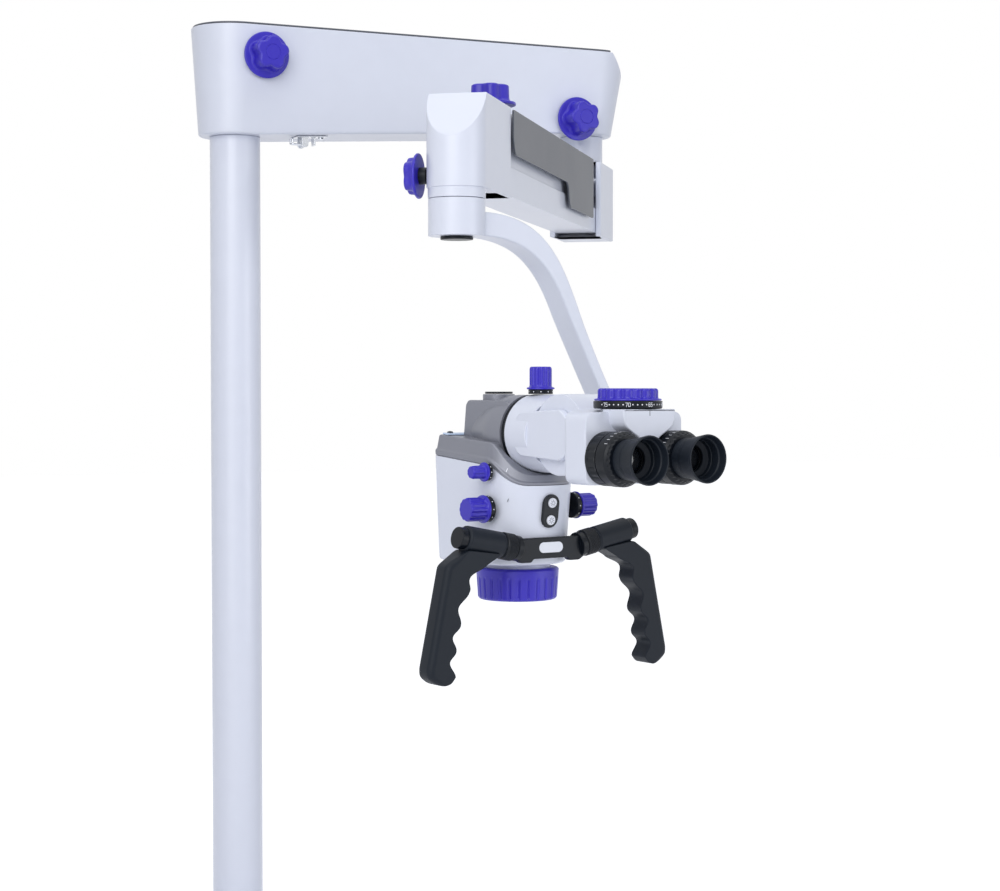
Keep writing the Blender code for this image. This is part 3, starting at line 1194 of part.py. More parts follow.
def grip_outline():
    """Outline of a grip as (along the spindle, drop below it), with four finger grooves inside."""
    tips = [(35 * MM, 19.2 * MM), (50.1 * MM, 46.2 * MM), (53.7 * MM, 75.8 * MM), (54.1 * MM, 98.4 * MM)]
    tips.append((50.5 * MM, 121 * MM))
    depths = [9 * MM, 7 * MM, 6 * MM, 6.5 * MM]
    points = [(21 * MM, 8 * MM)]
    steps = 3
    for (start, end), depth in zip(zip(tips, tips[1:]), depths):
        for i in range(steps):
            share = i / steps
            reach = mix(start[0], end[0], share) + depth * math.sin(math.pi * share) ** 1.4
            points.append((reach, mix(start[1], end[1], share)))
    points.append(tips[-1])
    points += [(54 * MM, 127.5 * MM), (61 * MM, 130.5 * MM), (70 * MM, 129.5 * MM), (77.5 * MM, 125.5 * MM)]
    points += [(79.5 * MM, 119 * MM), (77.6 * MM, 27 * MM), (73 * MM, 22 * MM), (57.5 * MM, 9.6 * MM)]
    return points


def build_handle(label, ring_frame, grip_frame, side):
    """Knurled lock ring, and the grip with its sleeve. Side is -1 on the left and 1 on the right."""
    ring_start = BRACKET_BOSS_LENGTH + GAP
    ring_end = ring_start + LOCK_RING_LENGTH
    radius = LOCK_RING_RADIUS
    ring = turned(
        [
            (radius - 1 * MM, ring_start),
            (radius, ring_start + 1 * MM),
            (radius, ring_end - 1 * MM),
            (radius - 1 * MM, ring_end),
            (HANDLE_ROD + GAP, ring_end),
            (HANDLE_ROD + GAP, ring_start),
        ],
        18,
        hollow=True,
    )
    piece(f"{label}_lock_ring", ring, BLACK, ring_frame)
    outline = [(side * drop, along) for along, drop in grip_outline()]
    grip = piece(f"{label}_grip", prism(outline, -GRIP_HALF, GRIP_HALF, "YZ"), RUBBER, grip_frame)
    soften(grip, 2.5 * MM, 1, 60)
    sleeve_start = ring_end + GAP
    sleeve = turned(
        [
            (0, sleeve_start),
            (SLEEVE_RADIUS, sleeve_start),
            (SLEEVE_RADIUS, SLEEVE_END - 2 * MM),
            (SLEEVE_RADIUS - 2 * MM, SLEEVE_END),
            (0, SLEEVE_END),
        ],
        20,
    )
    combine(grip, tool(f"{label}_sleeve_form", sleeve, grip_frame), "UNION")
    bore = cylinder(HANDLE_ROD + GAP, sleeve_start - 5 * MM, SLEEVE_END + 2 * MM, 16)
    combine(grip, tool(f"{label}_sleeve_cutter", bore, grip_frame))
    trim = cylinder(SLEEVE_RADIUS + 12 * MM, sleeve_start - 20 * MM, sleeve_start, 16)
    combine(grip, tool(f"{label}_ring_room_cutter", trim, grip_frame))


def build_arms():
    """Stand, extension arm, elbow, spring arm and head block. Returns the head block's frame."""
    ground = Frame("column_frame")
    build_stand(ground)
    arm = Frame("arm_swing_axis", ground)
    build_extension_arm(arm)
    arm_knob("column_lock", arm, COLUMN_KNOB)
    arm_knob("elbow_lock", arm, ELBOW_KNOB)
    hasp = Frame("latch_axis", arm, (LATCH_X, LATCH_Y, LATCH_Z), fresh=True)
    build_latch(arm, hasp)

    elbow = Frame("elbow_axis", arm, (ARM_REACH, 0, 0), (0, 0, SPRING_ARM_ANGLE))
    build_elbow(elbow)
    lift = Frame("lift_axis", elbow, (REAR_PIVOT, 0, UPPER_PIVOT_Z))
    build_upper_link(lift)
    knob = Frame("lift_lock_axis", lift, (HUB_REACH - 137 * MM, 0, UPPER_PIVOT_Z + UPPER_EYE), fresh=True)
    star_knob("lift_lock_knob", knob, 16 * MM, 8 * MM, 26.5 * MM, 21.5 * MM, 29 * MM)
    link = Frame("link_axis", elbow, (REAR_PIVOT, 0, LOWER_PIVOT_Z))
    build_lower_link(link)

    level = Frame("level_axis", lift, (FRONT_PIVOT, 0, UPPER_PIVOT_Z))
    level.shift += Vector((HUB_REACH, 0, 0))
    build_head_block(level)
    knob = Frame("swing_lock_axis", level, (0, -BLOCK_RADIUS, 841.5 * MM + 6 * MM), (90, 0, 0))
    star_knob("swing_lock_knob", knob, BLOCK_RADIUS - SWIVEL_RADIUS - GAP, 7.5 * MM, 21.5 * MM, 17.7 * MM, 20 * MM)
    return level


def build_head(level):
    """Drop arm and microscope head."""
    swing = Frame("drop_arm_axis", level, (0, 0, 0), (0, 0, HEAD_ANGLE - SPRING_ARM_ANGLE))
    build_drop_arm(swing)
    tilt = Frame("head_tilt_axis", swing, (TILT_FORWARD - HUB_FORWARD, -HUB_RIGHT, TILT_Z))
    tilt.shift = Vector((-TILT_FORWARD, 0, -TILT_Z))
    knob = Frame("tilt_lock_axis", tilt, (TILT_FORWARD, BOSS_OUTER + GAP, TILT_Z), (-90, 0, 0))
    star_knob("tilt_lock_knob", knob, 14 * MM, 2 * MM, 21.5 * MM, 17.7 * MM, 22 * MM)

    build_body(tilt)
    build_focus_ring(Frame("focus_axis", tilt, (0, 0, 0)))
    build_tube(tilt)
    x, z = TUBE_LOCK
    knob = Frame("tube_lock_axis", tilt, (x, 0, z), fresh=True)
    small_knob("tube_lock_knob", knob, 3 * MM, 11.2 * MM, 12.7 * MM, 10.2 * MM, 4.6 * MM, 25.2 * MM, 12)
    build_zoom(Frame("zoom_axis", tilt, (ZOOM_PLACE[0], 0, ZOOM_PLACE[1]), fresh=True))
    x, z = APERTURE_PLACE
    knob = Frame("aperture_axis", tilt, (x, -CONTROL_SEAT, z), (90, 0, 0))
    small_knob("aperture_knob", knob, 2.5 * MM, 8.2 * MM, 8.8 * MM, 6 * MM, 4 * MM, 20 * MM, 10, 2, 14 * MM)

    fold = Frame("tube_tilt_axis", tilt, (DRUM_CENTRE, 0, TUBE_Z))
    build_binocular(fold)
    dial = Frame("pd_dial_axis", fold, (DIAL_CENTRE, 0, 0), fresh=True)
    dial.shift = Vector((0, 0, 0))
    build_dial(dial)
    for label, side in (("left", -1), ("right", 1)):
        slide = Frame(f"{label}_eyepiece_slide", fold, (HOUSING_FRONT, side * EYE_SPACING / 2, EYE_Z), (0, 90, 0))
        diopter = Frame(f"{label}_diopter_axis", slide)
        build_eyepiece(label, slide, diopter)

    face = Frame("panel_face", tilt, (PANEL_SEAT, 0, PANEL_Z), (0, 90 + PANEL_LEAN, 0))
    buttons = []
    for label, side in (("upper", -1), ("lower", 1)):
        buttons.append(Frame(f"{label}_button_slide", face, (side * BUTTON_SPACING / 2, 0, 0), fresh=True))
    build_panel(face, buttons)

    sides = []
    for label, side in (("left", -1), ("right", 1)):
        place = (HANDLE_FORWARD, side * HANDLE_START, HANDLE_Z)
        sides.append((label, Frame(f"{label}_handle_base", tilt, place, (-side * (90 - HANDLE_RISE), 0, 0))))
    build_bracket(tilt, sides)
    for (label, base), side in zip(sides, (-1, 1)):
        ring = Frame(f"{label}_lock_ring_axis", base)
        grip = Frame(f"{label}_grip_axis", base)
        build_handle(label, ring, grip, side)


def main():
    """Builds the whole microscope."""
    clear_scene()
    build_head(build_arms())


main()
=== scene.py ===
"""Studio picture of an operating microscope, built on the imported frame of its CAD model.

Sizes are in millimetres and go to metres when a mesh is made. Each group of pieces has a Place: the
column's, the spring arm's (x runs from the elbow to the hub), the hub's, and the microscope head's
(x runs towards the operator, y to the operator's right, z is up). The eyepieces, the drum's hinge, the
tilt's axis and the port have their places in the head's axes as names, such as EYE_X and TILT_Z.
"""

from __future__ import annotations

import logging
from collections.abc import Callable, Sequence
from dataclasses import dataclass, field
from enum import Enum

import bpy
import numpy as np
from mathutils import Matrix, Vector

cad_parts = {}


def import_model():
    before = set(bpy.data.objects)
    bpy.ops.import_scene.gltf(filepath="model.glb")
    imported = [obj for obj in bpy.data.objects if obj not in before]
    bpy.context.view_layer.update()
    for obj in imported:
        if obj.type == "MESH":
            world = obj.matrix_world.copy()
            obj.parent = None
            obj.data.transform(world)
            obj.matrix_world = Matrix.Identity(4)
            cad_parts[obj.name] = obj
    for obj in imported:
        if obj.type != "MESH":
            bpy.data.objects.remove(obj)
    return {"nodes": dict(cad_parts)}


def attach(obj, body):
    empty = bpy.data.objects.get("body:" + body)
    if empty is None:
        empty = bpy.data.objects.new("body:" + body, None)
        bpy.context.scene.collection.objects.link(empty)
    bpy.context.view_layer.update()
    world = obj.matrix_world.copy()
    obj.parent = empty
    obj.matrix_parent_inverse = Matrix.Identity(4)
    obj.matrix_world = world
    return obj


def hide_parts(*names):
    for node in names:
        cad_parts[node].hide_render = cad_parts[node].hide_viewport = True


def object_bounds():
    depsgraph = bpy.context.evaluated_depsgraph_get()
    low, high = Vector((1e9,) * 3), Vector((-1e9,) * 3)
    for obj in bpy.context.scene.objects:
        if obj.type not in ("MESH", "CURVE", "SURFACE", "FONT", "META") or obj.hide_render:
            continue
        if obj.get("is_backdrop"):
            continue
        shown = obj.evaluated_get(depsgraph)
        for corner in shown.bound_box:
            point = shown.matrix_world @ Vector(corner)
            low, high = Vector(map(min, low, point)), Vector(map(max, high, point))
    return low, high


Array = np.ndarray
Wave = Callable[[Array], Array]
Triple = tuple[float, float, float]

MM = 0.001
TURN = 2 * np.pi
GAP = 0.3
SHARP_ANGLE = 34
EYE_Z = 587.5
TUBE_Z = 606.0
SEAT = 47.4
EYE_X = 167.0
EYE_HALF = 32.5
DRUM_X = 95.0
TILT_X = -52.0
TILT_Z = 578.0
PORT_X = -29.0
WIRE_POINTS = 14
TONE_WAVES = 40.0
GLOSS_WAVES = 12.0
RELIEF_DEPTH = 0.0004
COAT_ROUGHNESS = 0.12

log = logging.getLogger("scene")


class Ends(Enum):
    """How a skin of rings closes."""

    POINTS = "points"
    FACES = "faces"
    LOOP = "loop"
    ACROSS = "across"


def turn_matrix(degrees: Triple) -> Array:
    """The rotation for turns about x, then y, then z.

    Args:
        degrees: The three angles.

    Returns:
        A 3 by 3 matrix.
    """
    (sx, sy, sz), (cx, cy, cz) = np.sin(np.radians(degrees)), np.cos(np.radians(degrees))
    about_x = np.array([[1, 0, 0], [0, cx, -sx], [0, sx, cx]])
    about_y = np.array([[cy, 0, sy], [0, 1, 0], [-sy, 0, cy]])
    about_z = np.array([[cz, -sz, 0], [sz, cz, 0], [0, 0, 1]])
    return about_z @ about_y @ about_x


@dataclass(frozen=True)
class Place:
    """A set of axes in the frame. The columns of axes are its own x, y and z."""

    origin: Array
    axes: Array

    def world(self, points: Array) -> Array:
        """Points of this place, in the frame."""
        return self.origin + np.asarray(points, float) @ self.axes.T

    def at(self, offset: Triple, turn: Triple = (0.0, 0.0, 0.0)) -> Place:
        """Another place, moved and turned from this one."""
        return Place(self.world(offset), self.axes @ turn_matrix(turn))

    def swapped(self, order: str) -> Place:
        """The same place with its axes in another order, such as xzy."""
        return Place(self.origin, self.axes[:, ["xyz".index(letter) for letter in order]])


GROUND = Place(np.zeros(3), np.eye(3))
ELBOW = GROUND.at((450.0, 0.0, 0.0), (0.0, 0.0, -127.4))
HUB = ELBOW.at((643.0, 0.0, 0.0))
SWING = HUB.at((0.0, 0.0, 0.0), (0.0, 0.0, 49.3))
HEAD = SWING.at((66.0, 22.0, 0.0))


def eased(points: Array, reach: float | Array = 0.6, steps: int = 4, closed: bool = False) -> Array:
    """Rounds the corners of a path, or of many paths at once.

    Each corner P becomes the parabola (1-s)^2 A + 2s(1-s) P + s^2 B, where A and B lie on its two
    sides, at the given reach from P or at 45% of the side if that is less.

    Args:
        points: Paths, with the points along the last axis but one.
        reach: How far from a corner its curve starts, for all corners or one by one.
        steps: Segments in each curve.
        closed: Whether the path returns to its start.

    Returns:
        The paths with more points.
    """
    corner = np.asarray(points, float)
    before = np.roll(corner, 1, axis=-2) - corner
    after = np.roll(corner, -1, axis=-2) - corner
    span_before = np.maximum(np.linalg.norm(before, axis=-1, keepdims=True), 1e-9)
    span_after = np.maximum(np.linalg.norm(after, axis=-1, keepdims=True), 1e-9)
    wanted = np.broadcast_to(np.asarray(reach, float), corner.shape[:-1])[..., None]
    cut = np.minimum(wanted, 0.45 * np.minimum(span_before, span_after))
    start = (corner + before / span_before * cut)[..., None, :]
    end = (corner + after / span_after * cut)[..., None, :]
    share = np.linspace(0, 1, steps + 1)[:, None]
    middle = corner[..., None, :]
    curve = (1 - share) ** 2 * start + 2 * share * (1 - share) * middle + share**2 * end
    if not closed:
        curve = curve[..., 1:-1, :, :]
    curve = curve.reshape(*corner.shape[:-2], -1, corner.shape[-1])
    if closed:
        return curve
    return np.concatenate([corner[..., :1, :], curve, corner[..., -1:, :]], axis=-2)


def arc(centre: tuple[float, float], radius: float, start: float, end: float, steps: int) -> Array:
    """Points of a circular arc.

    Args:
        centre: Its centre.
        radius: Its radius.
        start: First angle in degrees.
        end: Last angle in degrees.
        steps: Segments in the arc.

    Returns:
        An array of (steps + 1, 2).
    """
    angle = np.radians(np.linspace(start, end, steps + 1))
    return np.stack([centre[0] + radius * np.cos(angle), centre[1] + radius * np.sin(angle)], axis=-1)


def smooth_step(value: Array | float, start: float, end: float) -> Array:
    """A smooth rise from 0 at start to 1 at end."""
    share = np.clip((np.asarray(value, float) - start) / (end - start), 0, 1)
    return share * share * (3 - 2 * share)


def spun(profile: Array, segments: int = 96, wave: Wave | None = None, phase: float = 0.0) -> Array:
    """Rings of a profile turned about z.

    The radius at angle a is r - d * wave(a), where r and d are the profile's first and last columns.

    Args:
        profile: Rows of (radius, height) or (radius, height, groove depth).
        segments: Points in each ring.
        wave: The groove's shape round the axis, from 0 at a crest to 1 at a bottom.
        phase: Turns the wave, in degrees.

    Returns:
        Rings of shape (rows, segments, 3).
    """
    profile = np.asarray(profile, float)
    angle = np.linspace(0, TURN, segments, endpoint=False)
    reach = np.repeat(profile[:, :1], segments, axis=1)
    if wave is not None:
        reach = reach - profile[:, 2:3] * wave(angle - np.radians(phase))
    height = np.broadcast_to(profile[:, 1:2], reach.shape)
    return np.stack([reach * np.cos(angle), reach * np.sin(angle), height], axis=-1)


def lobes(count: int, power: float = 1.0) -> Wave:
    """Evenly spaced grooves. A higher power makes them narrower and the lands wider."""
    return lambda angle: (0.5 - 0.5 * np.cos(count * angle)) ** power


def slab(outline: Array, low: float, high: float, edge: float | Array = 0.6, steps: int = 3) -> Array:
    """Rings of a plate with rounded rims.

    Each rim is a quarter circle: the outline moves in along its own normals by edge (1 - sin a) while
    the height moves by edge (1 - cos a).

    Args:
        outline: Closed outline in x and y.
        low: Height of the lower face.
        high: Height of the upper face.
        edge: Radius of the rims, for the whole outline or point by point.
        steps: Segments in each rim.

    Returns:
        Rings from the lower to the upper face.
    """
    outline = np.asarray(outline, float)
    along = np.roll(outline, -1, axis=0) - np.roll(outline, 1, axis=0)
    along /= np.maximum(np.linalg.norm(along, axis=1, keepdims=True), 1e-9)
    area = np.sum(outline[:, 0] * np.roll(outline[:, 1], -1) - outline[:, 1] * np.roll(outline[:, 0], -1))
    outward = np.stack([along[:, 1], -along[:, 0]], axis=-1) * np.sign(area)
    angle = np.linspace(0, np.pi / 2, steps + 1)[:, None]
    radius = np.broadcast_to(np.asarray(edge, float), len(outline))
    inset = radius * (1 - np.sin(angle))
    height = radius * (1 - np.cos(angle))
    inset = np.concatenate([inset, inset[::-1]])
    level = np.concatenate([low + height, high - height[::-1]])
    flat = outline[None] - outward[None] * inset[..., None]
    return np.concatenate([flat, level[..., None]], axis=-1)


def quads_between(index: Array) -> Array:
    """Faces of four corners between each closed row of point numbers and the next row."""
    low, high = index[:-1], index[1:]
    return np.stack([low, np.roll(low, -1, 1), np.roll(high, -1, 1), high], axis=-1)


def corner_rows(*pairs: tuple[Array, Array]) -> Array:
    """Section corners of shape (stations, corners, 2), from two arrays over the stations for each corner."""
    return np.stack([np.stack(pair, axis=-1) for pair in pairs], axis=1)


def sections(x: Array, corners: Array, reach: float, steps: int = 4) -> Array:
    """Rings across x from section corners.

    Args:
        x: The stations.
        corners: Corners of shape (stations, corners, 2).
        reach: Rounding of the corners.
        steps: Segments in each rounded corner.

    Returns:
        Rings of shape (stations, points, 3).
    """
    flat = eased(corners, reach, steps, closed=True)
    along = np.broadcast_to(x[:, None, None], (*flat.shape[:2], 1))
    return np.concatenate([along, flat], axis=-1)


def box_outline(low: tuple[float, float], high: tuple[float, float], corner: float = 1.0) -> Array:
    """A rectangle with rounded corners, between two opposite corners."""
    (x0, y0), (x1, y1) = low, high
    return eased(np.array([(x0, y0), (x1, y0), (x1, y1), (x0, y1)]), corner, 4, closed=True)


def stadium(length: float, width: float) -> Array:
    """An oblong with round ends, long along x."""
    radius = width / 2
    reach = length / 2 - radius
    return np.concatenate([arc((reach, 0), radius, -90, 90, 16), arc((-reach, 0), radius, 90, 270, 16)])


def corner_normals(mesh: bpy.types.Mesh) -> Array:
    """Normals that leave flat faces flat beside small rounded edges.

    A face's normal at a corner is the sum of area times normal over the faces that meet there and lean
    from it by less than the sharp angle.

    Args:
        mesh: The mesh.

    Returns:
        One unit normal for each face corner.
    """
    count = len(mesh.loops)
    vertex, total = np.empty(count, np.int32), np.empty(len(mesh.polygons), np.int32)
    area, normal = np.empty(len(total), np.float32), np.empty(len(total) * 3, np.float32)
    mesh.loops.foreach_get("vertex_index", vertex)
    mesh.polygons.foreach_get("loop_total", total)
    mesh.polygons.foreach_get("area", area)
    mesh.polygons.foreach_get("normal", normal)
    normal = normal.reshape(-1, 3)
    order = np.argsort(vertex, kind="stable")
    face = np.repeat(np.arange(len(total)), total)[order]
    meeting = np.bincount(vertex)
    size = meeting[vertex[order]]
    first = (np.cumsum(meeting) - meeting)[vertex[order]]
    own = np.repeat(np.arange(count), size)
    other = np.repeat(first - np.cumsum(size) + size, size) + np.arange(size.sum())
    near = np.einsum("ij,ij->i", normal[face[own]], normal[face[other]]) > np.cos(np.radians(SHARP_ANGLE))
    weight = np.where(near, area[face[other]], 0)
    summed = np.stack([np.bincount(own, weight * normal[face[other], axis]) for axis in range(3)], axis=-1)
    made = np.empty((count, 3))
    made[order] = summed / np.maximum(np.linalg.norm(summed, axis=1, keepdims=True), 1e-12)
    return made


class Form:
    """Closed skins gathered into one piece. Each skin's faces are turned outward as it is added."""

    def __init__(self) -> None:
        """Starts empty."""
        self.points: list[Array] = []
        self.blocks: list[Array] = []
        self.count = 0

    def add(self, points: Array, blocks: Sequence[Array]) -> Form:
        """Adds one closed skin.

        Args:
            points: Its points in the frame, in millimetres.
            blocks: Arrays of faces, each with one number of corners.

        Returns:
            The form itself.
        """
        corners = [points[block] for block in blocks]
        volume = sum(np.sum(c[:, :1] * np.cross(c[:, 1:-1], c[:, 2:])) for c in corners)
        step = -1 if volume < 0 else 1
        self.blocks += [block[:, ::step] + self.count for block in blocks]
        self.points.append(points)
        self.count += len(points)
        return self

    def skin(self, place: Place, rings: Array, ends: Ends = Ends.POINTS) -> Form:
        """Adds rings of equal counts as one skin.

        Args:
            place: Where the rings are.
            rings: Shape (rings, points, 3).
            ends: Whether the first and last ring shrink to a point, are a face, meet each other, or are
                strips between opposite points of a ring that is symmetrical.

        Returns:
            The form itself.
        """
        rows, count = rings.shape[:2]
        points = place.world(rings.reshape(-1, 3))
        index = np.arange(rows * count).reshape(rows, count)
        if ends is Ends.LOOP:
            index = np.concatenate([index, index[:1]])
        quads = quads_between(index)
        if ends is not Ends.POINTS:
            blocks = [quads.reshape(-1, 4)]
            if ends is Ends.FACES:
                blocks += [index[:1, ::-1], index[-1:]]
            if ends is Ends.ACROSS:
                blocks += [self.strips(index[0])[:, ::-1], self.strips(index[-1])]
            return self.add(points, blocks)
        inner = quads[1:-1].reshape(-1, 4)
        first, last = rows * count, rows * count + 1
        poles = np.stack([points[:count].mean(axis=0), points[-count:].mean(axis=0)])
        near, far = index[1], index[-2]
        start = np.stack([np.full(count, first), np.roll(near, -1), near], axis=-1)
        end = np.stack([np.full(count, last), far, np.roll(far, -1)], axis=-1)
        points = np.concatenate([points, poles])
        used = np.concatenate([index[1:-1].ravel(), [first, last]])
        fresh = np.zeros(len(points), int)
        fresh[used] = np.arange(len(used))
        return self.add(points[used], [fresh[inner], fresh[start], fresh[end]])

    @staticmethod
    def strips(ring: Array) -> Array:
        """Faces that join each point of a symmetrical ring's first half with its opposite."""
        near, far = ring[: len(ring) // 2], ring[::-1][: len(ring) // 2]
        return np.stack([near[:-1], near[1:], far[1:], far[:-1]], axis=-1)

    def turned(self, place: Place, profile: Sequence[tuple[float, ...]], reach: float | Array = 0.6,
               segments: int = 96, wave: Wave | None = None, phase: float = 0.0, steps: int = 4) -> Form:
        """Adds a turned solid whose profile runs from the axis back to the axis.

        Args:
            place: Its z is the axis.
            profile: Points of (radius, height) or (radius, height, groove depth).
            reach: Rounding of the profile's corners.
            segments: Points round the axis.
            wave: Shape of the grooves round the axis.
            phase: Turns the grooves, in degrees.
            steps: Segments in each rounded corner.

        Returns:
            The form itself.
        """
        return self.skin(place, spun(eased(np.array(profile), reach, steps), segments, wave, phase))

    def hollow(self, place: Place, profile: Sequence[tuple[float, ...]], reach: float | Array = 0.6,
               segments: int = 96, wave: Wave | None = None) -> Form:
        """Adds a turned ring from the closed outline of its section."""
        rings = spun(eased(np.array(profile), reach, 4, closed=True), segments, wave)
        return self.skin(place, rings, Ends.LOOP)

    def plate(self, place: Place, outline: Array, low: float, high: float, edge: float = 0.6) -> Form:
        """Adds a plate with rounded rims between two heights."""
        return self.skin(place, slab(outline, low, high, edge), Ends.FACES)

    def wire(self, place: Place, path: Array, radius: float, closed: bool = False) -> Form:
        """Adds a round wire along a path in the plane of x and z.

        A ring's points are P + r cos(a) N + r sin(a) Y, where N is the path's normal in its plane.

        Args:
            place: Where the path is.
            path: Points of (x, z).
            radius: The wire's radius.
            closed: Whether the path is a loop.

        Returns:
            The form itself.
        """
        path = np.asarray(path, float)
        along = np.roll(path, -1, 0) - np.roll(path, 1, 0) if closed else np.gradient(path, axis=0)
        along /= np.linalg.norm(along, axis=1, keepdims=True)
        normal = np.stack([-along[:, 1], np.zeros(len(path)), along[:, 0]], axis=-1)
        angle = np.linspace(0, TURN, WIRE_POINTS, endpoint=False)
        middle = np.stack([path[:, 0], np.zeros(len(path)), path[:, 1]], axis=-1)
        across = np.array([0.0, 1.0, 0.0])
        rings = middle[:, None] + radius * (
            np.cos(angle)[None, :, None] * normal[:, None] + np.sin(angle)[None, :, None] * across
        )
        return self.skin(place, rings, Ends.LOOP if closed else Ends.FACES)

    def mesh(self, name: str) -> bpy.types.Mesh:
        """The gathered skins as a smooth mesh with sharp edges kept sharp."""
        made = bpy.data.meshes.new(name)
        faces = [face for block in self.blocks for face in block.tolist()]
        made.from_pydata((np.concatenate(self.points) * MM).tolist(), [], faces)
        made.shade_smooth()
        made.set_sharp_from_angle(angle=np.radians(SHARP_ANGLE))
        made.normals_split_custom_set(corner_normals(made))
        return made


class Pattern(Enum):
    """The relief that a finish has."""

    NONE = "none"
    GRAIN = "grain"
    BRUSHED = "brushed"


@dataclass(frozen=True)
class Finish:
    """A surface finish: its colour and gloss, and how much its relief, tone and gloss vary."""

    name: str
    colour: Triple
    roughness: float
    metallic: float = 0.0
    coat: float = 0.0
    pattern: Pattern = Pattern.GRAIN
    relief: float = 0.03
    scale: float = 1400.0
    tone: float = 0.04
    gloss: float = 0.08
    shine: float = 0.5
    slot: str = ""


PAINT = Finish("white_paint", (0.735, 0.765, 0.862), 0.34, coat=0.25, slot="white_paint")
CASTING = Finish("white_casting", (0.725, 0.755, 0.85), 0.38, coat=0.2, relief=0.05, scale=1100,
                 slot="white_casting")
BLUE = Finish("blue_knob", (0.03, 0.017, 0.46), 0.36, relief=0.02, tone=0.02, slot="blue_knob")
DARK_PLATE = Finish("dark_grey_plate", (0.078, 0.086, 0.108), 0.42, relief=0.05, slot="grey_cover")
SHELL = Finish("grey_shell", (0.225, 0.232, 0.27), 0.38, metallic=0.25, relief=0.02, slot="grey_shell")
PALE = Finish("pale_blue_plate", (0.6, 0.73, 0.93), 0.3, relief=0.01, slot="pale_plate")
BLACK = Finish("black_fitting", (0.004, 0.006, 0.01), 0.36, relief=0.03, tone=0.02, shine=0.2,
               slot="black_metal")
BLACK_PLASTIC = Finish("black_plastic", (0.004, 0.006, 0.01), 0.4, relief=0.04, shine=0.3,
                       slot="black_plastic")
RUBBER = Finish("black_rubber", (0.007, 0.0105, 0.017), 0.5, relief=0.09, scale=1800, tone=0.03, shine=0.2,
                slot="rubber")
STEEL = Finish("bright_steel", (0.62, 0.64, 0.68), 0.24, metallic=1.0, pattern=Pattern.BRUSHED, slot="steel")
GLASS = Finish("coated_glass", (0.006, 0.008, 0.012), 0.04, coat=1.0, pattern=Pattern.NONE, tone=0, gloss=0,
               slot="lens")
BUTTON = Finish("button_white", (0.78, 0.8, 0.86), 0.4, slot="button")
MARK = Finish("white_marking", (0.85, 0.86, 0.9), 0.5, pattern=Pattern.NONE, tone=0, gloss=0)
INK = Finish("grey_marking", (0.16, 0.17, 0.2), 0.5, pattern=Pattern.NONE, tone=0, gloss=0)


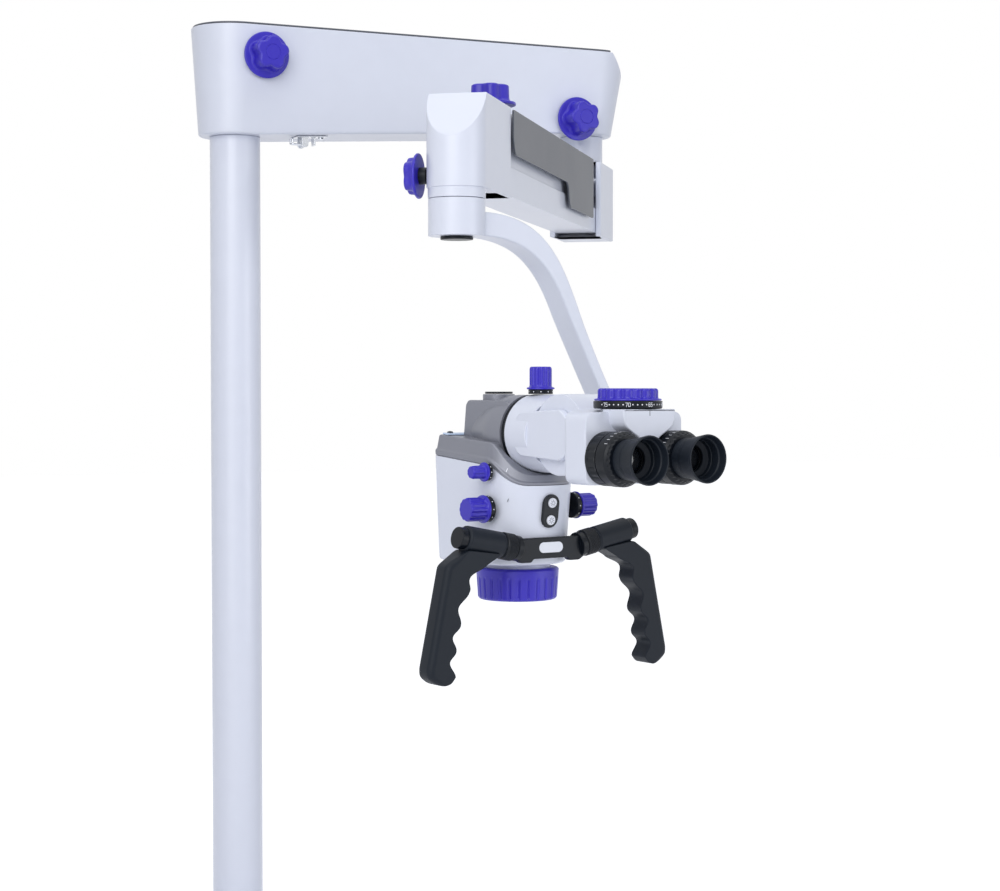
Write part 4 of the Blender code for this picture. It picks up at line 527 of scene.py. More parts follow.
class Paints:
    """Makes each finish's material once, from three shared node groups."""

    def __init__(self) -> None:
        """Makes the shared groups."""
        self.made: dict[str, bpy.types.Material] = {}
        self.relief = self.height_group("fine_relief", 3.0)
        self.brushed = self.height_group("brushed_relief", 4.0, (1.0, 1.0, 0.06))
        self.variation = self.variation_group()

    @staticmethod
    def group(name: str, inputs: dict[str, str], outputs: dict[str, str]) -> bpy.types.ShaderNodeTree:
        """An empty shader group with its sockets.

        Args:
            name: The group's name.
            inputs: Socket types of the inputs by name.
            outputs: Socket types of the outputs by name.

        Returns:
            The group's node tree.
        """
        tree = bpy.data.node_groups.new(name, "ShaderNodeTree")
        for kind, sockets in (("INPUT", inputs), ("OUTPUT", outputs)):
            for label, socket in sockets.items():
                tree.interface.new_socket(label, in_out=kind, socket_type=socket)
        tree.nodes.new("NodeGroupInput")
        tree.nodes.new("NodeGroupOutput")
        return tree

    @staticmethod
    def end(tree: bpy.types.ShaderNodeTree, kind: str) -> bpy.types.Node:
        """The group's own input or output node, by its type."""
        return next(node for node in tree.nodes if node.bl_idname == kind)

    def noise(self, tree: bpy.types.ShaderNodeTree, scale: float | None, detail: float,
              stretch: Triple = (1.0, 1.0, 1.0)) -> bpy.types.Node:
        """A noise texture on object coordinates.

        Args:
            tree: The node tree that gets it.
            scale: Its scale, or None to take the group's Scale input.
            detail: Its octaves.
            stretch: How much the coordinates are scaled along each axis.

        Returns:
            The noise node.
        """
        place = tree.nodes.new("ShaderNodeTexCoord")
        mapping = tree.nodes.new("ShaderNodeMapping")
        mapping.inputs["Scale"].default_value = stretch
        noise = tree.nodes.new("ShaderNodeTexNoise")
        noise.inputs["Detail"].default_value = detail
        tree.links.new(place.outputs["Object"], mapping.inputs["Vector"])
        tree.links.new(mapping.outputs["Vector"], noise.inputs["Vector"])
        if scale is None:
            entry = self.end(tree, "NodeGroupInput")
            tree.links.new(entry.outputs["Scale"], noise.inputs["Scale"])
        else:
            noise.inputs["Scale"].default_value = scale
        return noise

    def height_group(self, name: str, detail: float,
                     stretch: Triple = (1.0, 1.0, 1.0)) -> bpy.types.ShaderNodeTree:
        """A noise as a height, on the group's Scale input.

        Args:
            name: The group's name.
            detail: The noise's octaves.
            stretch: How much the coordinates are scaled along each axis.

        Returns:
            The group's node tree.
        """
        tree = self.group(name, {"Scale": "NodeSocketFloat"}, {"Height": "NodeSocketFloat"})
        noise = self.noise(tree, None, detail, stretch)
        tree.links.new(noise.outputs["Fac"], self.end(tree, "NodeGroupOutput").inputs["Height"])
        return tree

    def variation_group(self) -> bpy.types.ShaderNodeTree:
        """Slow changes of tone and gloss over a surface.

        The colour is multiplied by 1 + amount (n - 0.5) and the roughness grows by gloss (m - 0.5),
        where n and m are two noises with TONE_WAVES and GLOSS_WAVES waves per metre.

        Returns:
            The group's node tree.
        """
        inputs = {"Colour": "NodeSocketColor", "Tone": "NodeSocketFloat"}
        inputs |= {"Roughness": "NodeSocketFloat", "Gloss": "NodeSocketFloat"}
        outputs = {"Colour": "NodeSocketColor", "Roughness": "NodeSocketFloat"}
        tree = self.group("tone_and_gloss", inputs, outputs)
        entry = self.end(tree, "NodeGroupInput")
        exit_node = self.end(tree, "NodeGroupOutput")

        def sum_of(noise: bpy.types.Node, amount: str, start: float | None) -> bpy.types.Node:
            """start + amount * (noise - 0.5). The start is the group's own Roughness if none is given."""
            centred = tree.nodes.new("ShaderNodeMath")
            centred.operation = "SUBTRACT"
            centred.inputs[1].default_value = 0.5
            scaled = tree.nodes.new("ShaderNodeMath")
            scaled.operation = "MULTIPLY_ADD"
            tree.links.new(noise.outputs["Fac"], centred.inputs[0])
            tree.links.new(centred.outputs[0], scaled.inputs[0])
            tree.links.new(entry.outputs[amount], scaled.inputs[1])
            if start is None:
                tree.links.new(entry.outputs["Roughness"], scaled.inputs[2])
            else:
                scaled.inputs[2].default_value = start
            return scaled

        shade = sum_of(self.noise(tree, TONE_WAVES, 2.0), "Tone", 1.0)
        rough = sum_of(self.noise(tree, GLOSS_WAVES, 5.0), "Gloss", None)
        tint = tree.nodes.new("ShaderNodeVectorMath")
        tint.operation = "SCALE"
        tree.links.new(entry.outputs["Colour"], tint.inputs[0])
        tree.links.new(shade.outputs[0], tint.inputs["Scale"])
        tree.links.new(tint.outputs["Vector"], exit_node.inputs["Colour"])
        tree.links.new(rough.outputs[0], exit_node.inputs["Roughness"])
        return tree

    def material(self, finish: Finish) -> bpy.types.Material:
        """The finish's material.

        Args:
            finish: The finish.

        Returns:
            Its Principled material, with the variation and relief linked in.
        """
        if finish.name in self.made:
            return self.made[finish.name]
        made = bpy.data.materials.new(finish.name)
        made.use_nodes = True
        nodes, links = made.node_tree.nodes, made.node_tree.links
        shader = nodes["Principled BSDF"]
        colour = (*finish.colour, 1.0)
        shader.inputs["Base Color"].default_value = colour
        shader.inputs["Roughness"].default_value = finish.roughness
        shader.inputs["Metallic"].default_value = finish.metallic
        shader.inputs["Coat Weight"].default_value = finish.coat
        shader.inputs["Coat Roughness"].default_value = COAT_ROUGHNESS
        shader.inputs["Specular IOR Level"].default_value = finish.shine
        if finish.tone or finish.gloss:
            vary = nodes.new("ShaderNodeGroup")
            vary.node_tree = self.variation
            vary.inputs["Colour"].default_value = colour
            vary.inputs["Tone"].default_value = finish.tone
            vary.inputs["Roughness"].default_value = finish.roughness
            vary.inputs["Gloss"].default_value = finish.gloss
            links.new(vary.outputs["Colour"], shader.inputs["Base Color"])
            links.new(vary.outputs["Roughness"], shader.inputs["Roughness"])
        if finish.pattern is not Pattern.NONE:
            relief = nodes.new("ShaderNodeGroup")
            relief.node_tree = self.brushed if finish.pattern is Pattern.BRUSHED else self.relief
            relief.inputs["Scale"].default_value = finish.scale
            bump = nodes.new("ShaderNodeBump")
            bump.inputs["Strength"].default_value = finish.relief
            bump.inputs["Distance"].default_value = RELIEF_DEPTH
            links.new(relief.outputs["Height"], bump.inputs["Height"])
            links.new(bump.outputs["Normal"], shader.inputs["Normal"])
        self.made[finish.name] = made
        return made


class Maker:
    """Puts pieces in the scene, on the frame's bodies."""

    def __init__(self, nodes: dict[str, bpy.types.Object]) -> None:
        """Keeps the frame's nodes.

        Args:
            nodes: The CAD nodes by name.
        """
        self.nodes = nodes
        self.paints = Paints()

    def piece(self, name: str, form: Form, finish: Finish, body: str, *stands_for: str) -> bpy.types.Object:
        """Makes one piece, rides it on its body and lets it stand for CAD nodes.

        Args:
            name: The piece's name.
            form: Its skins.
            finish: Its finish.
            body: The CAD body it moves with.
            stands_for: The CAD nodes that it replaces.

        Returns:
            The new object.
        """
        mesh = form.mesh(name)
        mesh.materials.append(self.paints.material(finish))
        made = bpy.data.objects.new(name, mesh)
        bpy.context.scene.collection.objects.link(made)
        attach(made, body)
        if stands_for:
            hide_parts(*stands_for)
        log.info("%s: %d faces on %s", name, len(mesh.polygons), body)
        return made

    def keep(self, finish: Finish, *names: str) -> None:
        """Gives CAD nodes that stay in view a finish.

        Args:
            finish: The finish.
            names: The nodes.
        """
        for name in names:
            for slot in self.nodes[name].material_slots:
                slot.link = "OBJECT"
                slot.material = self.paints.material(finish)
            log.info("%s: kept from the frame", name)


@dataclass
class Stand:
    """The column on its mounting flange."""

    radius: float = 29.0
    foot: float = 12.3
    top: float = 936.7

    def build(self, maker: Maker) -> None:
        """Makes the column and keeps the flange."""
        profile = [(0, self.foot), (self.radius, self.foot), (self.radius, self.top), (0, self.top)]
        maker.piece("column", Form().turned(GROUND, profile, 0.6), PAINT, "stand", "column_tube")
        maker.keep(PAINT, "mounting_flange")


@dataclass
class StarKnob:
    """A five-lobed lock knob with a thin flange and a ring on its face."""

    node: str
    body: str
    place: Place
    base: float
    top: float
    flange: float = 26.5
    core: float = 19.5
    stem: float = 0.0
    count: int = 5
    phase: float = 0.0

    def build(self, maker: Maker) -> None:
        """Makes the knob, and a black stem where the knob stands off its face."""
        groove = self.core * 0.21
        lip = self.base + self.flange * 0.12
        face = self.top
        ring = self.core * 0.44
        profile = [
            (0, self.base, 0),
            (self.flange, self.base, 0),
            (self.flange, lip, 0),
            (self.core + 2.2, lip + 0.5, groove * 0.75),
            (self.core + 0.5, lip + 3.4, groove),
            (self.core, face - 1.2, groove),
            (self.core - 2.4, face, groove * 0.9),
            (ring + 0.5, face, 0),
            (ring + 0.25, face - 0.5, 0),
            (ring - 0.25, face - 0.5, 0),
            (ring - 0.5, face - 0.05, 0),
            (0, face - 0.05, 0),
        ]
        reach = [0, 1.2, 1.4, 1.0, 1.4, 1.6, 1.6, 0.1, 0.1, 0.1, 0.1, 0]
        form = Form().turned(self.place, profile, reach, 240, lobes(self.count, 1.35), self.phase, 5)
        maker.piece(f"star_{self.node}", form, BLUE, self.body, self.node)
        if self.stem:
            stem = [(0, GAP), (self.stem, GAP), (self.stem, self.base + 0.4), (0, self.base + 0.4)]
            maker.piece(f"{self.node}_stem", Form().turned(self.place, stem, 0.4, 48), BLACK, self.body)


@dataclass
class ExtensionArm:
    """The drafted casing of the extension arm with its dark cover."""

    reach: float = 450.0
    half_low: float = 42.0
    half_top: float = 50.0
    tip_low: float = 35.0
    tip_top: float = 55.5
    top: float = 1060.5
    rise: float = 22.0
    base: float = 937.0
    cut_start: float = 468.0
    cut_slope: float = 1.1

    def underside(self, x: Array) -> Array:
        """Height of the underside, which rises towards the elbow."""
        return self.base + self.rise * np.clip((x - 20) / 400, 0, 1)

    def outline(self, share: float, inset: float) -> Array:
        """The plan a share of the way up the drafted sides.

        Args:
            share: From 0 at the underside to 1 at the top.
            inset: How far it lies inside.

        Returns:
            Points of (x, y), symmetrical about y = 0, from the column's end to the elbow's and back.
        """
        half = self.half_low + (self.half_top - self.half_low) * share - inset
        tip = self.tip_low + (self.tip_top - self.tip_low) * share - inset
        corner = np.degrees(np.arccos((self.cut_start + 2.5 / self.cut_slope - self.reach) / self.tip_top))
        run = np.stack([np.linspace(20, 420, 9), np.full(9, half)], axis=-1)
        turn = np.concatenate([arc((0, 0), 1, 90, corner, 14), arc((0, 0), 1, corner, 0.6, 14)[1:]])
        nose = np.stack([self.reach + tip * turn[:, 0], half * turn[:, 1]], axis=-1)
        upper = np.concatenate([arc((0, 0), half, 179.4, 90, 30), run, nose])
        return np.concatenate([upper, upper[::-1] * (1, -1)])

    def casing(self) -> Form:
        """The casing: rows of the plan from the underside to the top, each column of points cut
        where the slanted plane at the elbow's end crosses it.

        Returns:
            The form.
        """
        low, high = self.outline(0, 0), self.outline(1, 0)
        floor = self.underside(low[:, 0])
        limit = self.top + 2.5 - self.cut_slope * (low[:, 0] - self.cut_start) - floor
        climb = self.top - floor + self.cut_slope * (high[:, 0] - low[:, 0])
        cut = np.minimum(limit / climb, 1.0)
        angle = np.linspace(0, np.pi / 2, 5)
        inset = np.concatenate([3 * (1 - np.sin(angle)), np.zeros(8), 1.0 * (1 - np.cos(angle))])
        share = np.concatenate([0.025 * (1 - np.cos(angle)), np.linspace(0.06, 0.985, 8),
                                0.992 + 0.008 * np.sin(angle)])
        rows = []
        for level, shift in zip(share, inset):
            inner_low, inner_high = self.outline(0, shift), self.outline(1, shift)
            part = (level * cut)[:, None]
            plan = inner_low + (inner_high - inner_low) * part
            height = floor + (self.top - floor) * part[:, 0]
            rows.append(np.concatenate([plan, height[:, None]], axis=1))
        return Form().skin(GROUND, np.array(rows), Ends.ACROSS)

    def build(self, maker: Maker) -> None:
        """Makes the casing, the cover and the two knobs."""
        maker.piece("arm_casing", self.casing(), CASTING, "extension_arm", "arm_shell")
        lid = self.outline(1, 2.0)
        lid[:, 0] = np.minimum(lid[:, 0], self.cut_start - 0.4)
        cover = Form().skin(GROUND, slab(lid, self.top + GAP, 1063.0, 0.7), Ends.ACROSS)
        maker.piece("arm_cover", cover, DARK_PLATE, "extension_arm", "arm_top_cover")
        for name, x, z, phase in (("column_lock", 22, 1026, 12), ("elbow_lock", 421, 976, -32)):
            floor = float(self.underside(x))
            draft = (self.half_top - self.half_low) / (self.top - floor)
            face = self.half_low + draft * (z - floor) + draft * 9.7
            place = GROUND.at((x, -face, z), (90, 0, 0))
            StarKnob(f"{name}_knob", name, place, 1.7, 28, phase=phase).build(maker)


@dataclass
class Latch:
    """The transport latch under the arm: a plate with lugs, and a wire bail hinged between them."""

    axis: Triple = (76.0, -20.0, 930.3)
    half: float = 9.0

    def build(self, maker: Maker) -> None:
        """Makes the plate and the bail."""
        x, y, z = self.axis
        level = GROUND.at((0, y, 0)).swapped("xzy")
        near, far = self.half - 2.7, self.half
        start, end = 939.2, 941.2
        sheet = np.array([(66.0, start), (104.0, end), (104.0, end - 1.5), (66.0, start - 1.5)])
        plate = Form().plate(level, eased(sheet, 0.5, closed=True), -self.half, self.half, 0.3)
        lug = np.concatenate([arc((x, z), 4, 180, 360, 14), [(x + 4, start - 0.4), (x - 4, start - 0.4)]])
        for low, high in ((-far, -near), (near, far)):
            plate.plate(level, lug, low, high, 0.5)
        tab = box_outline((88, z - 1), (90, start), 0.5)
        plate.plate(level, tab, -5, 5, 0.4)
        dome = [(0, 939.6), (3.4, 939.6), (3.0, 937.2), (0, 936.4)]
        plate.turned(GROUND.at((98, y, 0)), dome, 0.6, 32)
        maker.piece("latch_base", plate, STEEL, "extension_arm", "latch_plate")
        pivot = GROUND.at((x, y, z), (90, 0, 0))
        bail = Form().turned(pivot, [(0, -7.2), (2, -7.2), (2, 7.2), (0, 7.2)], 0.3, 32)
        ring = np.array([(-1.0, -4.0), (-14.0, -4.0), (-14.0, 4.0), (-1.0, 4.0)])
        bail.wire(GROUND.at((x, y, z)).swapped("xzy"), eased(ring, 2.2, 6, closed=True), 0.9, closed=True)
        stop = np.array([(-4.0, 0.0), (-4.0, 7.2), (4.0, 7.2), (4.0, 0.0)])
        bail.wire(GROUND.at((x - 14, y, z)).swapped("yxz"), eased(stop, 1.6, 6, closed=True), 0.9,
                  closed=True)
        maker.piece("latch_wire", bail, STEEL, "latch", "latch_bail")


@dataclass
class Elbow:
    """The elbow's spindle and the yoke that holds the spring arm's rear pivots."""

    low: float = 833.0
    high: float = 925.0
    half: float = 32.0
    slot: float = 25.3

    def build(self, maker: Maker) -> None:
        """Makes the spindle and the yoke, and keeps the pivot pins."""
        spindle = [(0, 925.3), (26.5, 925.3), (26.5, 958.7), (0, 958.7)]
        maker.piece("elbow_post", Form().turned(ELBOW, spindle, 0.8), PAINT, "elbow", "elbow_spindle")
        plan = [(-52, -self.half), (40, -self.half), (40, -self.slot), (3, -self.slot)]
        plan = np.array(plan + [(x, -y) for x, y in reversed(plan)], float)
        yoke = Form().plate(ELBOW, eased(plan, 2.0, 4, closed=True), self.low, self.high, 1.8)
        web = box_outline((1.5, -self.slot - 0.3), (18, self.slot + 0.3), 0.4)
        yoke.plate(ELBOW, web, self.low + GAP, self.low + 3.5, 0.4)
        maker.piece("elbow_yoke", yoke, CASTING, "elbow", "rear_yoke")
        maker.keep(STEEL, "rear_upper_pin", "rear_lower_pin", "front_upper_pin", "front_lower_pin",
                   "balance_spring")


@dataclass
class SpringArm:
    """The parallelogram arm: upper and lower channels, cover plates and the lift lock knob."""

    rear: float = 26.0
    front: float = 568.0
    upper_z: float = 903.0
    lower_z: float = 860.0

    def stations(self, eye: float, extra: Sequence[float]) -> Array:
        """Places along the arm where a link's section is taken, dense round both eyes.

        Args:
            eye: Radius of the eyes.
            extra: Further places where the section changes.

        Returns:
            The sorted places.
        """
        swing = eye * np.cos(np.radians(np.linspace(3, 90, 15)))
        return np.unique(np.concatenate([self.rear - swing, self.front + swing, np.asarray(extra, float)]))

    def eye_height(self, x: Array, eye: float) -> Array:
        """Half the height of a link whose ends are round: the eye's radius between the pivots, and
        the circle's chord beyond them."""
        beyond = np.maximum(self.rear - x, x - self.front)
        return np.sqrt(np.maximum(eye**2 - np.maximum(beyond, 0) ** 2, 0.04))

    @staticmethod
    def channel(x: Array, across: Array, levels: Sequence[Array], reach: float) -> Form:
        """A link from its section: places across the arm, and each one's height along the stations."""
        heights = np.stack(levels, axis=-1)
        corners = np.stack([np.broadcast_to(across, heights.shape), heights], axis=-1)
        return Form().skin(ELBOW, sections(x, corners, reach), Ends.FACES)

    def upper(self) -> Form:
        """The upper channel, open below between its two eyes.

        Returns:
            The form.
        """
        half, wall, skirt = 22.2, 3.0, 850.0
        ramp = [self.rear + 34, self.rear + 42, self.front - 42, self.front - 34]
        pocket = [self.rear + 46, self.rear + 46.4, self.front - 46.4, self.front - 46]
        x = self.stations(20, ramp + pocket)
        tall = self.eye_height(x, 20)
        drop = np.interp(x, ramp, [0, 1, 1, 0], left=0, right=0) * (self.upper_z - 20 - skirt)
        bottom, top = self.upper_z - tall - drop, self.upper_z + tall
        inside = (x > pocket[0]) & (x < pocket[3])
        ceiling = np.where(inside, top - wall, bottom + 0.3)
        across = np.array([-half, -half, half, half, half - wall, half - wall, wall - half, wall - half])
        return self.channel(x, across, [bottom, top, top, bottom, bottom, ceiling, ceiling, bottom], 1.6)

    def lower(self) -> Form:
        """The lower channel, open above along its whole length.

        Returns:
            The form.
        """
        half, wall = 25.0, 2.4
        x = self.stations(22, [self.rear + 5, self.front - 5])
        tall = self.eye_height(x, 22)
        bottom = self.lower_z - tall
        top = self.lower_z + np.minimum(tall, 8.0)
        floor = np.minimum(bottom + wall, top - 0.15)
        across = np.array([-half, -half, wall - half, wall - half, half - wall, half - wall, half, half])
        return self.channel(x, across, [bottom, top, top, floor, floor, top, top, bottom], 1.1)

    def build(self, maker: Maker) -> None:
        """Makes both links, the cover plates with their spacers, and the lift knob."""
        maker.piece("upper_channel", self.upper(), CASTING, "upper_link", "upper_arm_shell")
        maker.piece("lower_channel", self.lower(), CASTING, "lower_link", "lower_arm_shell")
        outline = [(83, 923), (83, 852), (229, 852), (236, 857), (243, 875), (250, 879), (521, 879),
                   (527, 884)]
        outline = eased(np.array(outline + [(532, 894), (532, 923)], float), 3.0, 4, closed=True)
        for side, low in (("left", -30.8), ("right", 28.8)):
            plate = Form().plate(ELBOW.swapped("xzy"), outline, low, low + 2, 0.5)
            for share in (0.12, 0.5, 0.88):
                inner, outer = sorted(np.array((22.5, 29.0)) * np.sign(low))
                post = arc((83 + 449 * share, self.upper_z), 4.5, 0, 345, 23)
                plate.plate(ELBOW.swapped("xzy"), post, inner, outer, 0.2)
            maker.piece(f"{side}_cover", plate, DARK_PLATE, "upper_link", f"{side}_cover_plate")
        place = ELBOW.at((506, 0, self.upper_z + 20))
        StarKnob("lift_lock_knob", "lift_lock", place, 8, 29, stem=9.7, phase=20).build(maker)


@dataclass
class HeadBlock:
    """The half-round block that ends the spring arm, with the swivel below it."""

    low: float = 835.0
    high: float = 925.0
    radius: float = 28.5
    rear: float = -108.0
    slot: float = 25.3
    slot_end: float = -52.0
    cut: float = -3.0
    cut_drop: float = 43.0

    def block(self) -> Form:
        """The block: its plan in rows, with the heights beyond the cut shrunk to a slanted plane.

        Returns:
            The form.
        """
        side = [(self.cut, self.radius), (self.rear, self.radius), (self.rear, self.slot)]
        side += [(self.slot_end, self.slot), (self.slot_end, -self.slot), (self.rear, -self.slot)]
        side += [(self.rear, -self.radius), (self.cut, -self.radius)]
        slotted = eased(np.array(side, float), 1.4, 4)
        nose = arc((0, 0), self.radius, -90, 90, 48)
        rings = slab(np.concatenate([slotted, nose]), self.low, self.high, 1.2)
        beyond = np.clip((rings[..., 0] - self.cut) / (self.radius - self.cut), 0, 1)
        height = self.high - self.low
        rings[..., 2] = self.low + (rings[..., 2] - self.low) * (1 - beyond * self.cut_drop / height)
        form = Form().skin(HUB, rings, Ends.FACES)
        last = form.blocks.pop()
        if last.shape[1] != rings.shape[1]:
            raise ValueError("the block's upper face is not its last face")
        seam = len(slotted)
        form.blocks += [last[:, :seam], np.concatenate([last[:, seam - 1:], last[:, :1]], axis=1)]
        return form

    def build(self, maker: Maker) -> None:
        """Makes the block with its spigot, the swivel's cap and the swing knob."""
        form = self.block()
        form.turned(HUB, [(0, 825.5), (27.3, 825.5), (27.3, 835.6), (0, 835.6)], 0.5)
        maker.piece("hub_block", form, CASTING, "head_carrier", "head_block")
        cap = [(0, 786.7), (15.5, 786.7), (15.5, 789.7), (12, 789.7), (12, 791), (0, 791)]
        maker.piece("swivel_cap", Form().turned(HUB, cap, 0.7, 72), BLACK, "head_carrier", "swivel_spindle")
        place = HUB.at((0, -self.radius, 847.5), (90, 0, 0))
        StarKnob("swing_lock_knob", "swing_lock", place, 7.5, 20, 21.5, 17.7, stem=8.0, phase=30).build(maker)


@dataclass
class DropArm:
    """The S-shaped arm that carries the microscope: hub, bow and boss."""

    half: float = 14.5
    knee: tuple[float, float] = (129.5, 723.0)

    @staticmethod
    def bezier(points: Sequence[tuple[float, float]], share: Array) -> Array:
        """Points of a cubic curve through four control points."""
        s, p = share[:, None], np.array(points, float)
        return (1 - s) ** 3 * p[0] + 3 * (1 - s) ** 2 * s * p[1] + 3 * (1 - s) * s**2 * p[2] + s**3 * p[3]

    def bow(self) -> Array:
        """Rings of the bow: a rounded oblong that stays square to the path of two cubic curves, 23 mm
        deep at the hub, 14 at the knee, slimmer below it and 18 where it meets the boss.

        Returns:
            Rings of shape (stations, points, 3).
        """
        upper = self.bezier([(20, 802), (85, 802), (108, 770), self.knee], np.linspace(0, 1, 40)[:-1])
        lower = self.bezier([self.knee, (144, 691), (187, 614), (205, 585)], np.linspace(0, 0.9, 40))
        path = np.concatenate([upper, lower])
        share = np.concatenate([np.linspace(0, 9, 40)[:-1], np.full(40, 9.0)])
        tail = np.concatenate([np.zeros(39), np.linspace(0, 0.9, 40)])
        depth = 23 - 9 * smooth_step(share, 1.5, 9) - 2.6 * np.sin(np.pi * tail)
        depth = depth + 8 * smooth_step(tail, 0.7, 1)
        along = np.gradient(path, axis=0)
        along /= np.linalg.norm(along, axis=1, keepdims=True)
        across = np.stack([-along[:, 1], along[:, 0]], axis=-1)
        half, tall = np.full(len(path), self.half), depth / 2
        corners = corner_rows((-half, tall), (-half, -tall), (half, -tall), (half, tall))
        flat = eased(corners, 2.2, 5, closed=True)
        place = path[:, None] + flat[..., 1:] * across[:, None]
        return np.concatenate([flat[..., :1], place], axis=-1)

    def build(self, maker: Maker) -> None:
        """Makes the arm with its hub and boss, and the tilt knob."""
        form = Form().skin(SWING, self.bow(), Ends.FACES)
        form.hollow(SWING, [(27, 790), (27, 825), (12.3, 825), (12.3, 790)], 0.7)
        boss = SWING.at((14, 22, TILT_Z), (-90, 0, 0))
        form.hollow(boss, [(25, 160), (25, 206), (12.3, 206), (12.3, 160)], 1.2)
        maker.piece("swing_arm", form, CASTING, "drop", "drop_arm")
        knob = HEAD.at((TILT_X, 206.3, TILT_Z), (-90, 0, 0))
        StarKnob("tilt_lock_knob", "tilt_lock", knob, 2.0, 22, 21.5, 17.7, stem=7.5, phase=10).build(maker)


@dataclass
class SmallKnob:
    """A fluted instrument knob on its flange."""

    node: str
    body: str
    place: Place
    base: float
    top: float
    flange: float
    core: float
    flutes: int
    groove: float = 1.0
    lip: float = 1.6

    def build(self, maker: Maker) -> None:
        """Makes the knob."""
        shoulder = self.base + self.lip
        depth = self.groove
        profile = [
            (0, self.base, 0),
            (self.flange, self.base, 0),
            (self.flange, shoulder, 0),
            (self.core + 0.5, shoulder + 0.4, 0),
            (self.core, shoulder + 1.6, depth * 0.3),
            (self.core, shoulder + 3.0, depth),
            (self.core, self.top - 2.2, depth),
            (self.core - 0.5, self.top - 0.6, depth * 0.7),
            (self.core - 1.5, self.top, depth * 0.25),
            (0, self.top, 0),
        ]
        reach = [0, 0.6, 0.6, 0.5, 0.8, 0.8, 0.8, 0.8, 0.9, 0]
        wave = lobes(self.flutes, 1.6)
        form = Form().turned(self.place, profile, reach, 24 * self.flutes, wave)
        maker.piece(f"fluted_{self.node}", form, BLUE, self.body, self.node)


class Marks:
    """Thin printed marks on a round or flat face, as closed slivers that stand 0.08 mm proud."""

    proud: float = 0.08
    digits: dict[str, Sequence[Sequence[tuple[float, float]]]] = {
        "0": [[(0.1, 0), (0.9, 0), (1, 0.15), (1, 0.85), (0.9, 1), (0.1, 1), (0, 0.85), (0, 0.15), (0.1, 0)]],
        "5": [[(0.95, 1), (0.1, 1), (0.05, 0.55), (0.8, 0.55), (1, 0.42), (1, 0.14), (0.85, 0), (0, 0)]],
        "6": [[(0.9, 1), (0.2, 1), (0, 0.8), (0, 0.12), (0.15, 0), (0.85, 0), (1, 0.12), (1, 0.42),
               (0.85, 0.54), (0, 0.54)]],
        "7": [[(0, 1), (1, 1), (0.4, 0)]],
    }

    def __init__(self, place: Place, radius: float | None = None) -> None:
        """Starts marks on a cylinder about the place's z, or on its xy plane without a radius.

        Args:
            place: The cylinder's or plane's place.
            radius: The cylinder's radius, or None for the plane.
        """
        self.place = place
        self.radius = radius
        self.form = Form()

    def lift(self, flat: Array, level: float) -> Array:
        """Points of (arc length, height), in millimetres, raised by level above the face."""
        if self.radius is None:
            return np.stack([flat[..., 0], flat[..., 1], np.full(flat.shape[:-1], level)], axis=-1)
        angle, reach = flat[..., 0] / self.radius, self.radius + level
        return np.stack([reach * np.cos(angle), reach * np.sin(angle), flat[..., 1]], axis=-1)

    def patch(self, outline: Array) -> None:
        """Adds a closed outline as one sliver."""
        rings = np.stack([self.lift(outline, -self.proud), self.lift(outline, self.proud)])
        self.form.skin(self.place, rings, Ends.FACES)

    def line(self, start: tuple[float, float], end: tuple[float, float], width: float) -> None:
        """Adds a straight stroke.

        Args:
            start: One end as (along, up).
            end: The other end.
            width: The stroke's width.
        """
        a, b = np.array(start, float), np.array(end, float)
        along = (b - a) / max(float(np.linalg.norm(b - a)), 1e-6) * width / 2
        side = np.array([-along[1], along[0]])
        self.patch(np.array([a - along - side, b + along - side, b + along + side, a - along + side]))

    def dot(self, middle: tuple[float, float], radius: float) -> None:
        """Adds a round dot."""
        self.patch(arc(middle, radius, 0, 330, 11))

    def number(self, text: str, middle: float, low: float, height: float, width: float) -> None:
        """Adds a plain dial number.

        Args:
            text: Its digits.
            middle: Where its middle is along the face.
            low: Height of its foot.
            height: Height of its digits.
            width: Width of its strokes.
        """
        wide = height * 0.55
        step = wide * 1.45
        start = middle - (len(text) * step - (step - wide)) / 2
        for place, digit in enumerate(text):
            for stroke in self.digits[digit]:
                spots = [(start + place * step + x * wide, low + y * height) for x, y in stroke]
                for a, b in zip(spots, spots[1:]):
                    self.line(a, b, width)


